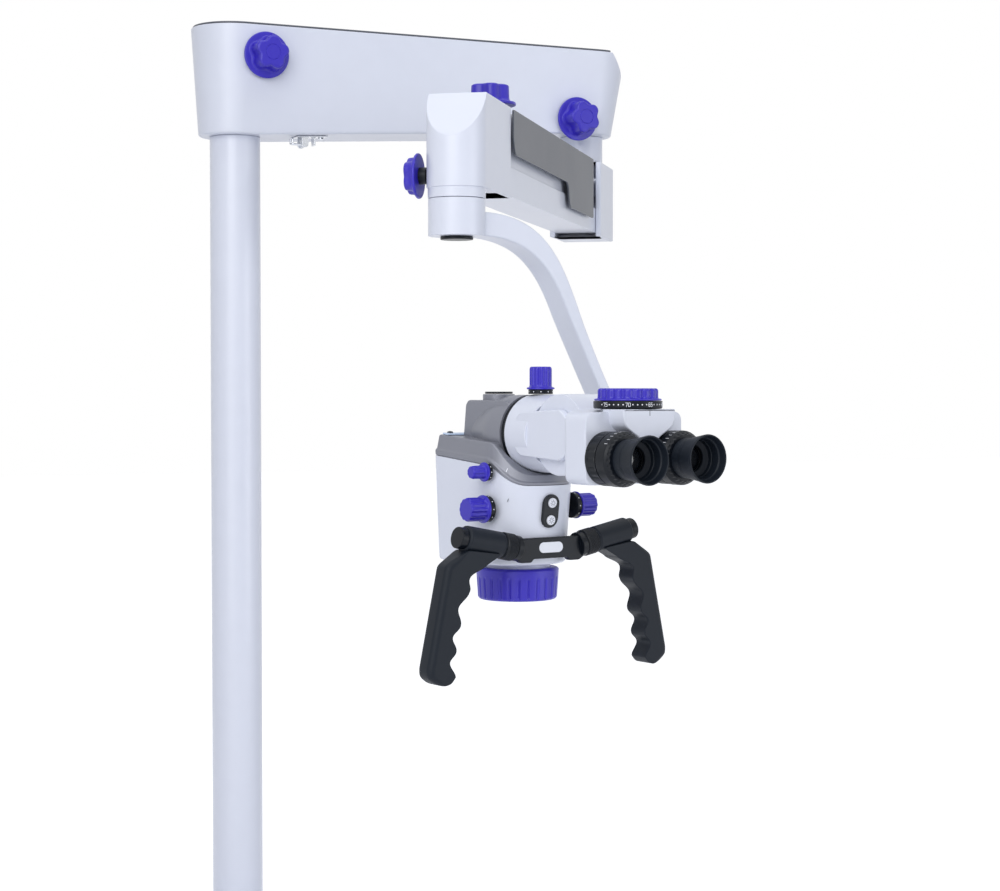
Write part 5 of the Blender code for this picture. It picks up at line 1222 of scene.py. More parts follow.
@dataclass
class ScopeBody:
    """The microscope's white lower shell and grey upper shell, with the turret on top."""

    bottom: float = 486.0
    rim: float = 604.0
    half: tuple[float, float] = (43.5, 47.0)
    rear: tuple[float, float] = (-67.0, -70.0)
    nose: tuple[float, float] = (41.0, 52.5)
    nose_centre: float = 8.0
    corner: float = 4.0
    room: float = 36.7
    room_start: float = 19.5
    turret_half: float = 24.0

    def share(self, height: float) -> float:
        """How far up the body's draft a height lies."""
        return (height - self.bottom) / (self.rim - self.bottom)

    def plan(self, share: float, inset: float = 0.0) -> Array:
        """The plan outline a share of the way up.

        Args:
            share: From 0 at the bottom to 1 at the rim.
            inset: How far it lies inside.

        Returns:
            Points of (forward, across), symmetrical, from the rear along one side to the nose and back.
        """
        half = np.interp(share, (0, 1), self.half) - inset
        rear = np.interp(share, (0, 1), self.rear) + inset
        reach = np.interp(min(share * 1.15, 1), (0, 1), self.nose) - inset - self.nose_centre
        corner = max(self.corner - inset, 1.0)
        bow = np.radians(np.concatenate([np.linspace(90, 75.2, 5), np.linspace(74.8, 1.0, 26)]))
        side = [arc((rear + corner, half - corner), corner, 180, 90, 10)]
        side.append(np.stack([np.linspace(rear + corner, self.nose_centre, 12)[1:-1], np.full(10, half)],
                             axis=-1))
        side.append(np.stack([self.nose_centre + reach * np.cos(bow), half * np.sin(bow)], axis=-1))
        right = np.concatenate(side)
        return np.concatenate([right, right[::-1] * (1, -1)])

    @staticmethod
    def seam(x: Array) -> Array:
        """Height of the line where white meets grey: a slow fall, then a dip towards the nose."""
        return np.interp(x, (-70, 10), (584.3, 577.5)) - 18.5 * smooth_step(x, 12, 46)

    @staticmethod
    def edge(x: Array) -> Array:
        """Height of the grey shell's upper edge, dipping under the tube."""
        return np.interp(x, (-70, 10), (604, 598)) - 29.4 * smooth_step(x, 13, 46)

    def lower(self) -> Form:
        """The white shell: rows of the plan from the rounded bottom to the seam, and the lens neck.

        Returns:
            The form.
        """
        angle = np.linspace(0, np.pi / 2, 6)
        rows = []
        for turn in angle:
            plan = self.plan(0.0, 3.5 * (1 - np.sin(turn)))
            rows.append(np.column_stack([plan, np.full(len(plan), self.bottom + 4 * (1 - np.cos(turn)))]))
        for part in np.linspace(0, 1, 20)[1:]:
            plan = self.plan(self.share(490 + 85 * part))
            rows.append(np.column_stack([plan, 490 + (self.seam(plan[:, 0]) - 490) * part]))
        form = Form().skin(HEAD, np.array(rows), Ends.ACROSS)
        return form.hollow(HEAD, [(30, 460), (30, 488), (25.3, 488), (25.3, 460)], 0.8)

    def roof(self, x: Array, y: Array) -> Array:
        """Height of the grey shell's top: the edge's height, hollowed under the tube by a cylinder
        about the tube's axis."""
        hollow = TUBE_Z - np.sqrt(np.maximum(self.room**2 - y**2, 0))
        edge = self.edge(x)
        return np.where(x > self.room_start, np.minimum(edge, hollow), edge)

    def crown(self) -> Form:
        """The grey shell's walls and hollowed top.

        The walls follow a path of (inset, height): a band flush with the white shell, a step in, and a
        lean to the edge. The top is a grid between opposite points of the edge.

        Returns:
            The form.
        """
        path = eased(np.array([(0.9, 0), (0, 0.7), (0, 6), (1.9, 8.4), (4.2, 23), (5.4, 24)], float), 1.3, 4)
        start = self.share(575)
        rows = []
        for inset, rise in path:
            part = rise / 24
            plan = self.plan(start + (1 - start) * part, inset)
            low, high = self.seam(plan[:, 0]) + GAP, self.edge(plan[:, 0])
            rows.append(np.column_stack([plan, low + (high - low) * part]))
        rings = np.array(rows)
        count = rings.shape[1]
        half, columns = count // 2, 36
        ring = rings[-1]
        near, far = ring[:half], ring[::-1][:half]
        share = np.linspace(0, 1, columns + 1)[1:-1]
        inner = near[1:-1, None] + (far - near)[1:-1, None] * share[None, :, None]
        inner[..., 2] = self.roof(inner[..., 0], inner[..., 1])
        index = np.arange(rings.size // 3).reshape(rings.shape[:2])
        walls = quads_between(index).reshape(-1, 4)
        first, last = index[0], index[-1]
        grid = np.empty((half - 2, columns + 1), int)
        grid[:, 1:-1] = index.size + np.arange(inner.size // 3).reshape(inner.shape[:2])
        grid[:, 0], grid[:, -1] = last[1:half - 1], last[::-1][1:half - 1]
        cells = np.stack([grid[:-1, :-1], grid[1:, :-1], grid[1:, 1:], grid[:-1, 1:]], axis=-1).reshape(-1, 4)
        rear = np.concatenate([[last[-1], last[0]], grid[0]])[None]
        front = np.concatenate([[last[half - 1], last[half]], grid[-1][::-1]])[None]
        mirror = first[::-1][:half]
        base = np.stack([first[:half - 1], mirror[:-1], mirror[1:], first[1:half]], axis=-1)
        points = HEAD.world(np.concatenate([rings.reshape(-1, 3), inner.reshape(-1, 3)]))
        return Form().add(points, [walls, cells, rear, front, base])

    def turret(self, form: Form) -> None:
        """Adds the turret: a flat-topped dome, the vault that swells from it towards the tube, and the port.

        The vault's section at q is the ellipse y = w cos a, z = 606 + 35 sin a, where w grows from 23.5
        at the rear to 35 at the tube.
        """
        dome = [(-53, 596), (-53, 604), (-49.6, 632), (-46, 636), (12, 636), (19.2, 633), (19.2, 596)]
        outline = eased(np.array(dome, float), 2.2, 5, closed=True)
        form.plate(HEAD.swapped("xzy"), outline, -self.turret_half, self.turret_half, 2.0)
        x = np.linspace(-47, 19.3, 40)
        angle = np.radians(np.linspace(-25, 205, 60))
        wide = 23.5 + 11.5 * smooth_step(x, -46, 2)
        tall = 28 + 7 * smooth_step(x, -46, 6)
        section = np.stack([
            np.broadcast_to(x[:, None], (40, 60)),
            wide[:, None] * np.cos(angle),
            TUBE_Z + tall[:, None] * np.sin(angle),
        ], axis=-1)
        form.skin(HEAD, section, Ends.FACES)
        form.turned(HEAD.at((PORT_X, 0, 0)), [(0, 626), (15, 626), (15, 641.5), (0, 641.5)], 0.8, 72)

    def build(self, maker: Maker) -> None:
        """Makes the shells, the top plate with screws, the port's cap, the ring, the axle and the lens."""
        maker.piece("lower_shell", self.lower(), CASTING, "microscope", "body_shell")
        crown = self.crown()
        self.turret(crown)
        maker.piece("crown_shell", crown, SHELL, "microscope", "upper_shell")
        plan = self.plan(1.0, 6.5)
        plan = plan[plan[:, 0] < -53.6]
        half = len(plan) // 2
        ends = [(-53.6, plan[half - 1, 1]), (-53.6, plan[half, 1])]
        outline = np.concatenate([plan[:half], ends, plan[half:]])
        rings = slab(outline, 0.0, 1.6, 0.4)
        rings[..., 2] += self.edge(rings[..., 0]) + GAP
        maker.piece("rear_plate", Form().skin(HEAD, rings, Ends.FACES), PALE, "microscope", "rear_top_plate")
        screws = Form()
        for side in (-1, 1):
            spot = HEAD.at((-61.5, side * 33, float(self.edge(-61.5)) + 1.9))
            screws.turned(spot, [(0, -0.2), (3.2, -0.2), (2.6, 1.0), (0, 1.6)], 0.6, 32)
        maker.piece("rear_plate_screws", screws, BLACK, "microscope")
        cap = [(0, 641.8), (13, 641.8), (13, 643.8), (0, 643.8)]
        maker.piece("port_lid", Form().turned(HEAD.at((PORT_X, 0, 0)), cap, 0.5, 72), BLACK_PLASTIC,
                    "microscope", "port_cap")
        axis = HEAD.at((0, 0, TUBE_Z), (0, 90, 0))
        ring = [(0, 19.8), (33.5, 19.8), (33.5, 25.8), (0, 25.8)]
        maker.piece("tube_ring", Form().turned(axis, ring, 0.4), BLACK, "microscope", "dovetail_ring")
        shaft = [(0, 46.8), (18, 46.8), (18, 50.6), (12, 50.6), (12, 205.8), (0, 205.8)]
        tilt = HEAD.at((TILT_X, 0, TILT_Z), (-90, 0, 0))
        maker.piece("tilt_axle", Form().turned(tilt, shaft, 0.6), STEEL, "microscope", "tilt_shaft")
        glass = [(0, 463.7), (14, 464.2), (22, 465.1), (25, 466.2), (25, 471.5), (0, 471.5)]
        maker.piece("front_lens", Form().turned(HEAD, glass, 0.8), GLASS, "microscope", "objective_lens")
        self.ticks(maker)

    def ticks(self, maker: Maker) -> None:
        """Adds the plain index ticks beside the aperture and zoom knobs."""
        white = Marks(HEAD.at((36.5, -40.2, 573.5), (90, 0, 34)))
        white.line((0.0, -1.3), (1.2, 1.3), 0.7)
        maker.piece("aperture_index", white.form, MARK, "microscope")
        dark = Marks(HEAD.at((33.8, -36.9, 546.0), (90, 0, 42)))
        dark.line((0.0, -1.2), (0.9, 1.2), 0.6)
        maker.piece("zoom_index", dark.form, INK, "microscope")


@dataclass
class FocusRing:
    """The blue ring round the lens neck, with narrow flutes below a plain band."""

    low: float = 452.5
    high: float = 482.0
    radius: tuple[float, float] = (36.5, 38.5)
    flutes: int = 26

    def build(self, maker: Maker) -> None:
        """Makes the ring from the closed outline of its section."""
        height = self.high - self.low
        reach = np.interp([0.06, 0.12, 0.66, 0.74, 0.95], (0, 1), self.radius)
        band = self.low + height * np.array([0.06, 0.12, 0.66, 0.74, 0.95])
        profile = [
            (26, self.low, 0),
            (self.radius[0] - 1.5, self.low, 0),
            (reach[0], band[0], 0.5),
            (reach[1], band[1], 1.3),
            (reach[2], band[2], 1.3),
            (reach[3], band[3], 0),
            (reach[4], band[4], 0),
            (self.radius[1] - 2, self.high, 0),
            (30.3, self.high, 0),
            (30.3, 458, 0),
            (26, 458, 0),
        ]
        form = Form().hollow(HEAD, profile, [0.4, 0.8, 0.8, 1, 1, 1, 1.4, 1, 0.4, 0.4, 0.4], 26 * 24,
                             lobes(self.flutes, 7))
        maker.piece("focus_grip", form, BLUE, "focus", "focus_ring")


@dataclass
class Controls:
    """The zoom, aperture and tube lock knobs, with black collars and white marks."""

    def collar(self, maker: Maker, name: str, body: str, place: Place, radius: float, low: float, high: float,
               *stands_for: str) -> None:
        """A black collar with white dots on its rim.

        Args:
            maker: Puts it in the scene.
            name: Its name.
            body: The body it turns with.
            place: Its z is the axis.
            radius: Its radius.
            low: Its lower face.
            high: Its upper face.
            stands_for: The CAD nodes that it replaces.
        """
        profile = [(0, low), (radius, low), (radius, high), (0, high)]
        maker.piece(name, Form().turned(place, profile, 0.5, 72), BLACK, body, *stands_for)
        dots = Marks(place, radius)
        for step in range(10):
            dots.dot((radius * TURN * step / 10, (low + high) / 2), 0.55)
        maker.piece(f"{name}_dots", dots.form, MARK, body)

    def build(self, maker: Maker) -> None:
        """Makes the zoom shaft's ends, the aperture knob and the tube lock knob."""
        for side, turn in (("left", 90), ("right", -90)):
            axis = HEAD.at((19, 0, 538), (turn, 0, 0))
            stands = ("zoom_shaft",) if side == "left" else ()
            self.collar(maker, f"{side}_zoom_collar", "zoom", axis, 12.0, SEAT, SEAT + 5, *stands)
            SmallKnob(f"{side}_zoom_knob", "zoom", axis, SEAT + 5.3, SEAT + 25.3, 12.7, 10.8, 12,
                      1.0).build(maker)
        axis = HEAD.at((19, -SEAT, 571.5), (90, 0, 0))
        self.collar(maker, "aperture_collar", "aperture", axis, 8.2, GAP, 4.0)
        SmallKnob("aperture_knob", "aperture", axis, 4.0, 20.0, 8.8, 6.0, 9, 0.7, 1.6).build(maker)
        axis = HEAD.at((35, 0, TUBE_Z + 35.5))
        self.collar(maker, "tube_lock_collar", "tube_lock", axis, 11.2, GAP, 4.6)
        SmallKnob("tube_lock_knob", "tube_lock", axis, 4.6, 25.2, 12.7, 10.2, 12, 1.0).build(maker)


@dataclass
class TubeBase:
    """The white barrel that carries the binocular's drum between two cheeks."""

    radius: float = 35.5
    start: float = 26.1
    end: float = 70.0
    drum: float = DRUM_X
    room: float = 37.4

    def barrel(self) -> Form:
        """The barrel: rings about the tube's axis whose far end follows the drum.

        A point at height z above the axis ends at q = drum - sqrt(room^2 - z^2), or at the barrel's end.

        Returns:
            The form.
        """
        angle = np.linspace(0, TURN, 120, endpoint=False)
        turn = np.linspace(0, np.pi / 2, 6)
        radius = np.concatenate([[0], self.radius - 2 * (1 - np.sin(turn)), np.full(10, self.radius)])
        share = np.concatenate([[0], 0.045 * (1 - np.cos(turn)), np.linspace(0.1, 0.985, 10)])
        close = np.linspace(1, 0, 16) ** 0.8
        radius = np.concatenate([radius, self.radius * close - 0.5 * (close > 0)])
        share = np.concatenate([share, np.ones(16)])
        across, up = radius[:, None] * np.cos(angle), radius[:, None] * np.sin(angle)
        limit = self.drum - np.sqrt(np.maximum(self.room**2 - up**2, 0))
        finish = np.minimum(self.end, limit)
        along = self.start + share[:, None] * (finish - self.start)
        return Form().skin(HEAD, np.stack([along, across, TUBE_Z + up], axis=-1))

    def build(self, maker: Maker) -> None:
        """Makes the barrel with its cheeks."""
        form = self.barrel()
        outline = np.concatenate([
            arc((self.drum, TUBE_Z), 24, -70, 70, 24),
            arc((self.start + 30, TUBE_Z), 21, 110, 250, 24),
        ])
        for side in (-1, 1):
            low, high = sorted((side * 26.3, side * 33.5))
            form.plate(HEAD.swapped("xzy"), outline, low, high, 1.6)
        maker.piece("tube_barrel", form, CASTING, "microscope", "tube_base")


@dataclass
class Binocular:
    """The eyepiece housing with its hinge drum, the shield below the dial, and the dial with its knob."""

    rear: float = 125.0
    front: float = EYE_X
    half: float = 54.0
    low: float = 565.0
    high: float = 627.0
    corner: float = 7.0
    dial: float = 158.0
    pad_top: float = 629.4

    def housing(self) -> Form:
        """The neck and the box: rounded oblongs across the head, from the drum to the front face.

        Returns:
            The form.
        """
        x = np.concatenate([[86, self.rear - 3], np.linspace(self.rear - 2.4, self.rear + 17, 14),
                            [self.front - 10, self.front - 1.6, self.front - 0.5, self.front]])
        knots = (86, self.rear - 3, self.rear + 17)
        swell = smooth_step(x, self.rear - 3, self.rear + 15)
        half = 25.6 + (self.half - 25.6) * swell
        low = np.interp(x, knots, (580, self.low + 4, self.low))
        high = np.interp(x, knots, (632, self.high + 2.6, self.high))
        inset = np.interp(x, (self.front - 1.6, self.front - 0.5, self.front), (0, 0.35, 1.4))
        half, low, high = half - inset, low + inset, high - inset
        corners = corner_rows((-half, low), (half, low), (half, high), (-half, high))
        return Form().skin(HEAD, sections(x, corners, self.corner * 1.25, 8), Ends.FACES)

    def build(self, maker: Maker) -> None:
        """Makes the housing with its drum and shield, the dial and its knob."""
        form = self.housing()
        drum = HEAD.at((DRUM_X, 0, TUBE_Z), (-90, 0, 0))
        form.turned(drum, [(0, -26), (36, -26), (36, 26), (0, 26)], 0.8, 120)
        pad = [(0, 615), (24, 615), (24, self.pad_top), (0, self.pad_top)]
        form.turned(HEAD.at((self.dial, 0, 0)), pad, 0.4)
        side = [(28.7, self.pad_top), (28.7, 622), (26.7, 615), (20, 610.4), (12.2, 606), (8, 602),
                (5.5, 598)]
        outline = np.array(side + [(-y, z) for y, z in reversed(side)], float)
        reach = np.array([0.5, 5, 5, 5, 4, 3, 2])
        outline = eased(outline, np.concatenate([reach, reach[::-1]]), 6, closed=True)
        form.plate(HEAD.swapped("yzx"), outline, 158, 187, 1.4)
        maker.piece("eyepiece_housing", form, CASTING, "binocular", "binocular_housing")
        index = Marks(HEAD.at((187.0, 0, 0)).swapped("yzx"))
        index.line((0, 624.2), (0, 627.6), 0.7)
        maker.piece("dial_index", index.form, INK, "binocular")
        self.build_dial(maker)

    def build_dial(self, maker: Maker) -> None:
        """Makes the pupil distance dial with its dots and numbers, and the scalloped knob."""
        place = HEAD.at((self.dial, 0, 0))
        low, radius = self.pad_top + GAP, 29.8
        profile = [(0, low), (radius - 0.9, low), (radius, low + 1), (radius, low + 6.6), (0, low + 6.6)]
        maker.piece("dial_ring", Form().turned(place, profile, 0.7, 144), BLACK, "pupil_dial", "pd_dial")
        marks = Marks(place, radius)
        number_gap, middle_distance = 20.8, 65
        pitch = number_gap / 5
        for step in range(-11, 12):
            along = step * pitch
            if step % 5:
                marks.dot((along, low + 3.6), 0.62)
            else:
                marks.number(str(middle_distance - step), along, low + 2.1, 3.0, 0.42)
        maker.piece("dial_marks", marks.form, MARK, "pupil_dial")
        base = low + 6.9
        top, core = base + 10.6, 26.3
        profile = [(0, base, 0), (29, base, 0), (29, base + 1.5, 0), (core + 0.4, base + 1.9, 1.2),
                   (core, base + 3, 1.5), (core, top - 1.6, 1.5), (core - 1.2, top - 0.1, 1.2),
                   (core - 3.4, top, 0.2), (0, top, 0)]
        reach = [0, 0.6, 0.6, 0.4, 0.5, 0.8, 0.8, 0.8, 0]
        form = Form().turned(place, profile, reach, 18 * 24, lobes(18, 2.2))
        maker.piece("dial_knob", form, BLUE, "pupil_dial", "pd_knob")


@dataclass
class Eyepiece:
    """One eyepiece: a ribbed barrel, the diopter ring with its ticks, the eyecup and the lens."""

    side: str
    across: float
    ring_radius: float = 23.5
    tick_step: float = 11

    def build(self, maker: Maker) -> None:
        """Makes the four pieces and the marks on the ring."""
        axis = HEAD.at((EYE_X, self.across, EYE_Z), (0, 90, 0))
        slide, turn = f"{self.side}_eyepiece", f"{self.side}_diopter"
        barrel = [(0, GAP, 0), (23.2, GAP, 0), (23.2, 3.2, 0), (23.2, 4.4, 0.45), (23.2, 12, 0.45),
                  (23.2, 13.2, 0), (23.2, 13.8, 0), (15, 14, 0), (15, 36, 0), (13.4, 36, 0), (13.0, 33, 0),
                  (0, 33, 0)]
        reach = [0, 0.8, 0.4, 0.4, 0.4, 0.4, 0.3, 0.4, 0.4, 0.3, 0.5, 0]
        form = Form().turned(axis, barrel, reach, 18 * 16, lobes(18, 3))
        maker.piece(f"{self.side}_barrel", form, BLACK, slide, f"{self.side}_eyepiece_barrel")
        ring = [(15.3, 14.3, 0), (22.6, 14.3, 0), (23.5, 15.2, 0), (23.5, 25.6, 0), (21.6, 27.8, 0),
                (21.6, 28.1, 0.9), (20.6, 29.9, 0.9), (17.4, 30, 0), (15.3, 30, 0)]
        reach = [0.3, 0.6, 0.6, 0.7, 0.5, 0.3, 0.5, 0.3, 0.3]
        form = Form().hollow(axis, ring, reach, 26 * 16, lobes(26, 1))
        maker.piece(f"{self.side}_ring", form, BLACK, turn, f"{self.side}_diopter_ring")
        marks = Marks(axis, 23.52)
        for step in range(-5, 6):
            along = self.ring_radius * np.radians(180 + step * self.tick_step)
            if step:
                marks.line((along, 22.2), (along, 25.4), 0.4)
        top = self.ring_radius * np.pi
        marks.line((top, 21.2), (top, 25.4), 0.45)
        maker.piece(f"{self.side}_ring_marks", marks.form, MARK, turn)
        cup = [(17.5, 30.3), (17.5, 39), (18.2, 41), (19.6, 50), (21, 57.2), (20.6, 58.3), (19.6, 58.1),
               (18.4, 52), (17.4, 51.2), (16.8, 44), (16.2, 43.6), (16, 40.2), (11.6, 38.6), (11.4, 36.8),
               (15.3, 36.8), (15.3, 30.3)]
        reach = [0.3, 1, 2, 3, 0.6, 0.5, 0.6, 0.6, 0.6, 0.4, 0.4, 0.6, 0.3, 0.3, 0.3, 0.3]
        maker.piece(f"{self.side}_cup", Form().hollow(axis, cup, reach, 120), RUBBER, turn,
                    f"{self.side}_eyecup")
        lens = [(0, 31.3), (11, 31.3), (11, 34.3), (7, 35.3), (0, 35.9)]
        form = Form().turned(axis, lens, [0, 0.3, 0.5, 3, 0], 72)
        maker.piece(f"{self.side}_lens", form, GLASS, slide, f"{self.side}_ocular_lens")


@dataclass
class SwitchPanel:
    """The oblong switch panel on the nose, with two round push buttons."""

    place: Place = field(default_factory=lambda: HEAD.at((47.6, 0, 536), (0, 98.6, 0)))
    spacing: float = 16.0
    radius: float = 4.5

    def build(self, maker: Maker) -> None:
        """Makes the panel, the buttons and their marks."""
        form = Form().plate(self.place, stadium(31, 18), 0, 3.4, 0.9)
        maker.piece("panel", form, BLACK_PLASTIC, "microscope", "switch_panel")
        for name, side in (("upper", -1), ("lower", 1)):
            spot = self.place.at((side * self.spacing / 2, 0, 0))
            cap = [(0, 2.7), (self.radius, 2.7), (self.radius, 5.0), (0, 5.0)]
            form = Form().turned(spot, cap, 0.7, 72)
            maker.piece(f"{name}_push", form, BUTTON, f"{name}_switch", f"{name}_button")
            star = Marks(spot.at((0, 0, 5.0)))
            for angle in np.radians(np.arange(0, 360, 45)):
                tip = (2.9 * np.cos(angle), 2.9 * np.sin(angle))
                star.line((1.2 * np.cos(angle), 1.2 * np.sin(angle)), tip, 0.45)
            maker.piece(f"{name}_push_star", star.form, INK, f"{name}_switch")


@dataclass
class Handles:
    """The bar across the nose, and on each side a spindle, a knurled ring and a finger-grooved grip."""

    back: float = 44.3
    front: float = 50.6
    half: float = 38.0
    low: float = 493.0
    high: float = 512.0
    start: float = 36.0
    height: float = 503.5
    rise: float = 11.0

    def bar(self) -> Form:
        """The bar's stepped outline, as a plate."""
        side = [(self.half, self.low), (self.half - 5, self.low - 3), (self.half - 16, self.low - 3)]
        side += [(self.half - 19, self.low)]
        mirrored = [(-y, z) for y, z in reversed(side)]
        outline = np.array(side + mirrored + [(-self.half, self.high), (self.half, self.high)], float)
        rounded = eased(outline, 1.2, 4, closed=True)
        return Form().plate(HEAD.swapped("yzx"), rounded, self.back, self.front, 1.0)

    @staticmethod
    def grip_outline() -> Array:
        """The grip's outline as (drop, along the spindle), with four finger grooves on the inner side."""
        tips = np.array([(35, 19.2), (50.1, 46.2), (53.7, 75.8), (54.1, 98.4), (50.5, 121)], float)
        depth = np.array([9, 7, 6, 6.5])[:, None]
        share = np.linspace(0, 1, 15)[:-1]
        reach = tips[:-1, :1] + (tips[1:, :1] - tips[:-1, :1]) * share + depth * np.sin(np.pi * share) ** 2
        drop = tips[:-1, 1:] + (tips[1:, 1:] - tips[:-1, 1:]) * share
        inner = np.stack([reach.ravel(), drop.ravel()], axis=-1)
        outer = [(50.5, 121), (54, 127.5), (61, 130.5), (70, 129.5), (77.5, 125.5), (79.5, 119), (79.2, 104)]
        outer += [(78.4, 66), (77.6, 27), (73, 22), (57.5, 9.6), (21, 8)]
        reach = np.concatenate([np.full(len(inner), 0.8), [3, 3, 3, 4, 3, 3, 5, 5, 4, 4, 4, 5]])
        outline = eased(np.concatenate([inner, np.array(outer, float)]), reach, 4, closed=True)
        return outline[:, ::-1]

    def knurl(self, axis: Place) -> Form:
        """The lock ring: a turned ring whose radius has slanting grooves.

        The radius at angle a and height h is R - d (0.5 + 0.5 cos(64 a + 1.9 h))^3.

        Returns:
            The form.
        """
        rim = eased(np.array([(6.3, 4.3), (11.2, 4.3), (12.3, 5.4), (12.3, 5.8)], float), 0.5)
        run = np.stack([np.full(28, 12.3), np.linspace(5.8, 15.5, 28)], axis=-1)
        path = np.concatenate([rim, run[1:-1], rim[::-1] * (1, -1) + (0, 21.3)])
        count, ridges, slant = 512, 64, 1.9
        rings = spun(path, count)
        angle = np.linspace(0, TURN, count, endpoint=False)
        height = path[:, 1:2]
        fade = 1 - smooth_step(height, 15.1, 15.9)
        depth = 0.35 * smooth_step(height, 5.4, 6.2) * fade * (path[:, :1] > 12)
        scale = 1 - depth * (0.5 + 0.5 * np.cos(ridges * angle + slant * height)) ** 3 / 12.3
        rings[..., :2] *= scale[..., None]
        return Form().skin(axis, rings, Ends.LOOP)

    def build(self, maker: Maker) -> None:
        """Makes the bar with its plate, both spindles' caps, both rings and both grips."""
        bar = self.bar()
        for name, side in (("left", -1), ("right", 1)):
            axis = HEAD.at((45, side * self.start, self.height), (-side * (90 - self.rise), 0, 0))
            bar.turned(axis, [(0, -2), (11.5, -2), (11.5, 4), (0, 4)], 0.8, 72)
            cap = [(0, 4.3), (6, 4.3), (6, 58.8), (9.75, 58.8), (9.75, 65.8), (0, 65.8)]
            form = Form().turned(axis, cap, [0, 0.2, 0.2, 0.5, 1.0, 0], 72)
            maker.piece(f"{name}_end_cap", form, BLACK, "microscope", f"{name}_handle_spindle")
            maker.piece(f"{name}_knurled_ring", self.knurl(axis), BLACK, f"{name}_lock", f"{name}_lock_ring")
            sleeve = [(6.4, 17.3), (11.2, 17.3), (11.2, 18.6), (12, 19.6), (12, 57), (10, 58.5), (6.4, 58.5)]
            grip = Form().hollow(axis, sleeve, [0.3, 0.5, 0.5, 0.6, 1, 0.8, 0.3], 96)
            outline = self.grip_outline() * (side, 1)
            along = outline[:, 1]
            rim = 0.3 + 0.6 * smooth_step(along, 22, 35) + 5.1 * smooth_step(along, 55, 74)
            grip.skin(axis.swapped("yzx"), slab(outline, -10.5, 10.5, rim, 6), Ends.FACES)
            maker.piece(f"{name}_handle_grip", grip, RUBBER, f"{name}_handle", f"{name}_grip")
        maker.piece("handle_bar", bar, BLACK, "microscope", "handle_bracket")
        label = Form().plate(HEAD.at((50.4, 0, 503)).swapped("yzx"), stadium(27, 9.5), 0, 0.5, 0.15)
        maker.piece("handle_bar_plate", label, BUTTON, "microscope")


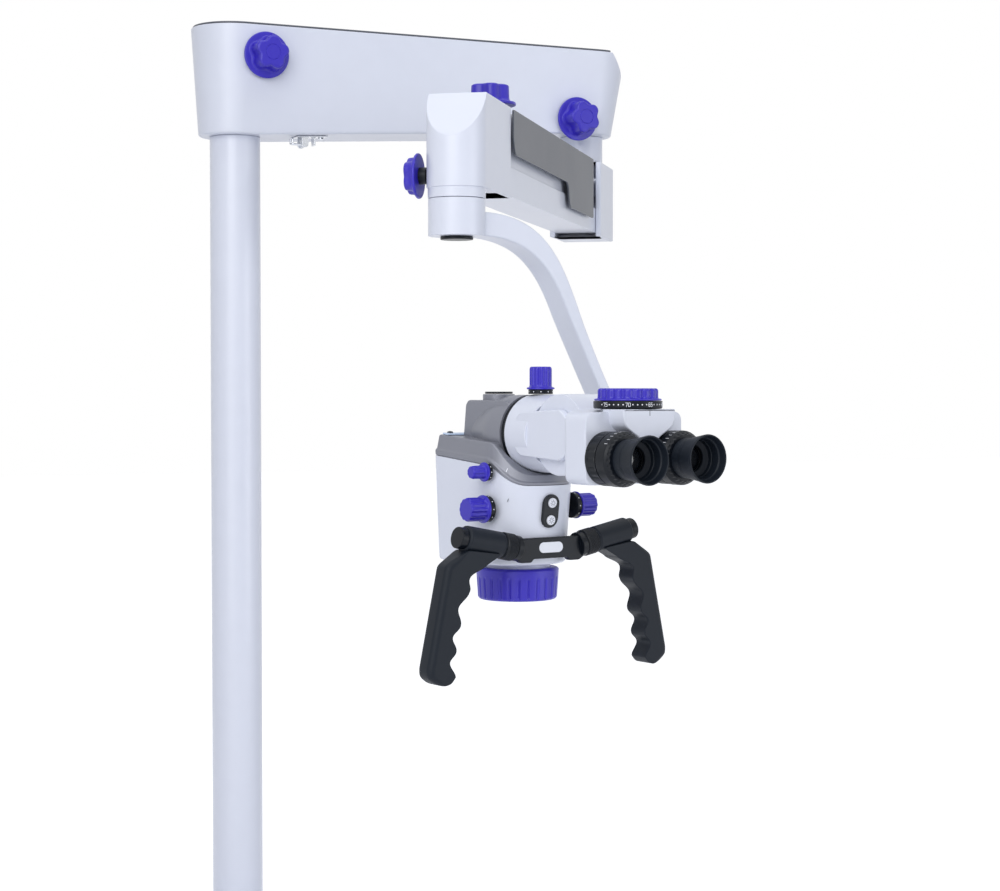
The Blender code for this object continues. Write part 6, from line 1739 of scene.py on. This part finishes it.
@dataclass
class Studio:
    """The camera, the lights, the white backdrop and the pale floor."""

    eye: Triple = (-0.6904, -2.2465, 0.650)
    pitch: float = 1.733
    heading: float = -24.6
    lens: float = 72.0
    floor_half: float = 12.0
    floor_glow: float = 0.72

    def light(self, name: str, place: Triple, aim: Triple, size: float, power: float, colour: Triple) -> None:
        """A square softbox.

        Args:
            name: Its name.
            place: Where it is, in metres.
            aim: The point it faces.
            size: Its side.
            power: Its power in watts.
            colour: Its colour.
        """
        lamp = bpy.data.lights.new(name, "AREA")
        lamp.size = size
        lamp.energy = power
        lamp.color = colour
        made = bpy.data.objects.new(name, lamp)
        bpy.context.scene.collection.objects.link(made)
        made.location = place
        made.rotation_euler = (Vector(aim) - Vector(place)).to_track_quat("-Z", "Y").to_euler()
        log.info("light %s", name)

    def camera(self) -> None:
        """The photograph's camera."""
        lens = bpy.data.cameras.new("photo_camera")
        lens.lens = self.lens
        lens.sensor_width = 36.0
        made = bpy.data.objects.new("photo_camera", lens)
        made.location = self.eye
        made.rotation_euler = (np.radians(90 - self.pitch), 0.0, np.radians(self.heading))
        bpy.context.scene.collection.objects.link(made)
        bpy.context.scene.camera = made

    @staticmethod
    def showing(tree: bpy.types.NodeTree) -> bpy.types.NodeSocket:
        """Which rays show the white studio.

        Args:
            tree: The tree to work it out in.

        Returns:
            A value of 1 for rays from the camera, and for reflected and transmitted ones.
        """
        path = tree.nodes.new("ShaderNodeLightPath")
        total = path.outputs["Is Camera Ray"]
        for ray in ("Is Glossy Ray", "Is Transmission Ray"):
            either = tree.nodes.new("ShaderNodeMath")
            either.operation = "MAXIMUM"
            tree.links.new(total, either.inputs[0])
            tree.links.new(path.outputs[ray], either.inputs[1])
            total = either.outputs[0]
        return total

    def backdrop(self) -> None:
        """White to the camera and in reflections, and a soft cool grey as light."""
        world = bpy.data.worlds.new("studio")
        bpy.context.scene.world = world
        world.use_nodes = True
        nodes, links = world.node_tree.nodes, world.node_tree.links
        soft = nodes["Background"]
        soft.inputs["Color"].default_value = (0.86, 0.9, 1.0, 1.0)
        soft.inputs["Strength"].default_value = 0.33
        white = nodes.new("ShaderNodeBackground")
        white.inputs["Color"].default_value = (1.0, 1.0, 1.0, 1.0)
        mix = nodes.new("ShaderNodeMixShader")
        links.new(self.showing(world.node_tree), mix.inputs[0])
        links.new(soft.outputs[0], mix.inputs[1])
        links.new(white.outputs[0], mix.inputs[2])
        links.new(mix.outputs[0], nodes["World Output"].inputs["Surface"])

    def floor(self) -> None:
        """A pale floor under the flange. Its glow lifts it to white in the picture, its shadow too."""
        mesh = bpy.data.meshes.new("floor")
        reach = self.floor_half
        mesh.from_pydata([(-reach, -reach, 0), (reach, -reach, 0), (reach, reach, 0), (-reach, reach, 0)], [],
                         [(0, 1, 2, 3)])
        paint = bpy.data.materials.new("floor_white")
        paint.use_nodes = True
        nodes, links = paint.node_tree.nodes, paint.node_tree.links
        nodes["Principled BSDF"].inputs["Base Color"].default_value = (0.9, 0.9, 0.92, 1.0)
        nodes["Principled BSDF"].inputs["Roughness"].default_value = 0.8
        glow = nodes.new("ShaderNodeEmission")
        glow.inputs["Strength"].default_value = self.floor_glow
        both = nodes.new("ShaderNodeAddShader")
        mix = nodes.new("ShaderNodeMixShader")
        links.new(nodes["Principled BSDF"].outputs[0], both.inputs[0])
        links.new(glow.outputs[0], both.inputs[1])
        links.new(self.showing(paint.node_tree), mix.inputs[0])
        links.new(nodes["Principled BSDF"].outputs[0], mix.inputs[1])
        links.new(both.outputs[0], mix.inputs[2])
        links.new(mix.outputs[0], nodes["Material Output"].inputs["Surface"])
        mesh.materials.append(paint)
        made = bpy.data.objects.new("floor", mesh)
        bpy.context.scene.collection.objects.link(made)
        made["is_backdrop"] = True

    def build(self) -> None:
        """Sets up the studio."""
        bpy.context.scene.view_settings.view_transform = "Standard"
        self.camera()
        self.backdrop()
        self.floor()
        target = (0.1, -0.4, 0.8)
        self.light("key", (-1.3, -2.3, 1.9), target, 1.6, 31, (1.0, 1.0, 1.0))
        self.light("side", (-1.7, -1.9, 0.7), (0.2, -0.6, 0.6), 1.2, 6, (1.0, 1.0, 1.0))
        self.light("overhead", (0.2, -0.6, 2.6), target, 2.0, 15, (0.97, 0.98, 1.0))
        self.light("fill", (1.9, -2.4, 0.6), (0.2, -0.6, 0.6), 1.4, 12, (0.95, 0.97, 1.0))


def corners() -> list[list[float]]:
    """The shown object's lowest and highest corners as plain numbers."""
    return [[float(value) for value in corner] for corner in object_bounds()]


def main() -> list[list[float]]:
    """Loads the frame and builds the picture, assembly by assembly.

    Returns:
        The CAD model's box.
    """
    logging.basicConfig(level=logging.INFO, format="%(name)s: %(message)s")
    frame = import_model()
    cad = corners()
    maker = Maker(frame["nodes"])
    Studio().build()
    Stand().build(maker)
    ExtensionArm().build(maker)
    Latch().build(maker)
    Elbow().build(maker)
    SpringArm().build(maker)
    HeadBlock().build(maker)
    DropArm().build(maker)
    ScopeBody().build(maker)
    FocusRing().build(maker)
    Controls().build(maker)
    TubeBase().build(maker)
    Binocular().build(maker)
    for side, across in (("left", -EYE_HALF), ("right", EYE_HALF)):
        Eyepiece(side, across).build(maker)
    SwitchPanel().build(maker)
    Handles().build(maker)
    return cad


if __name__ == "__main__":
    main()
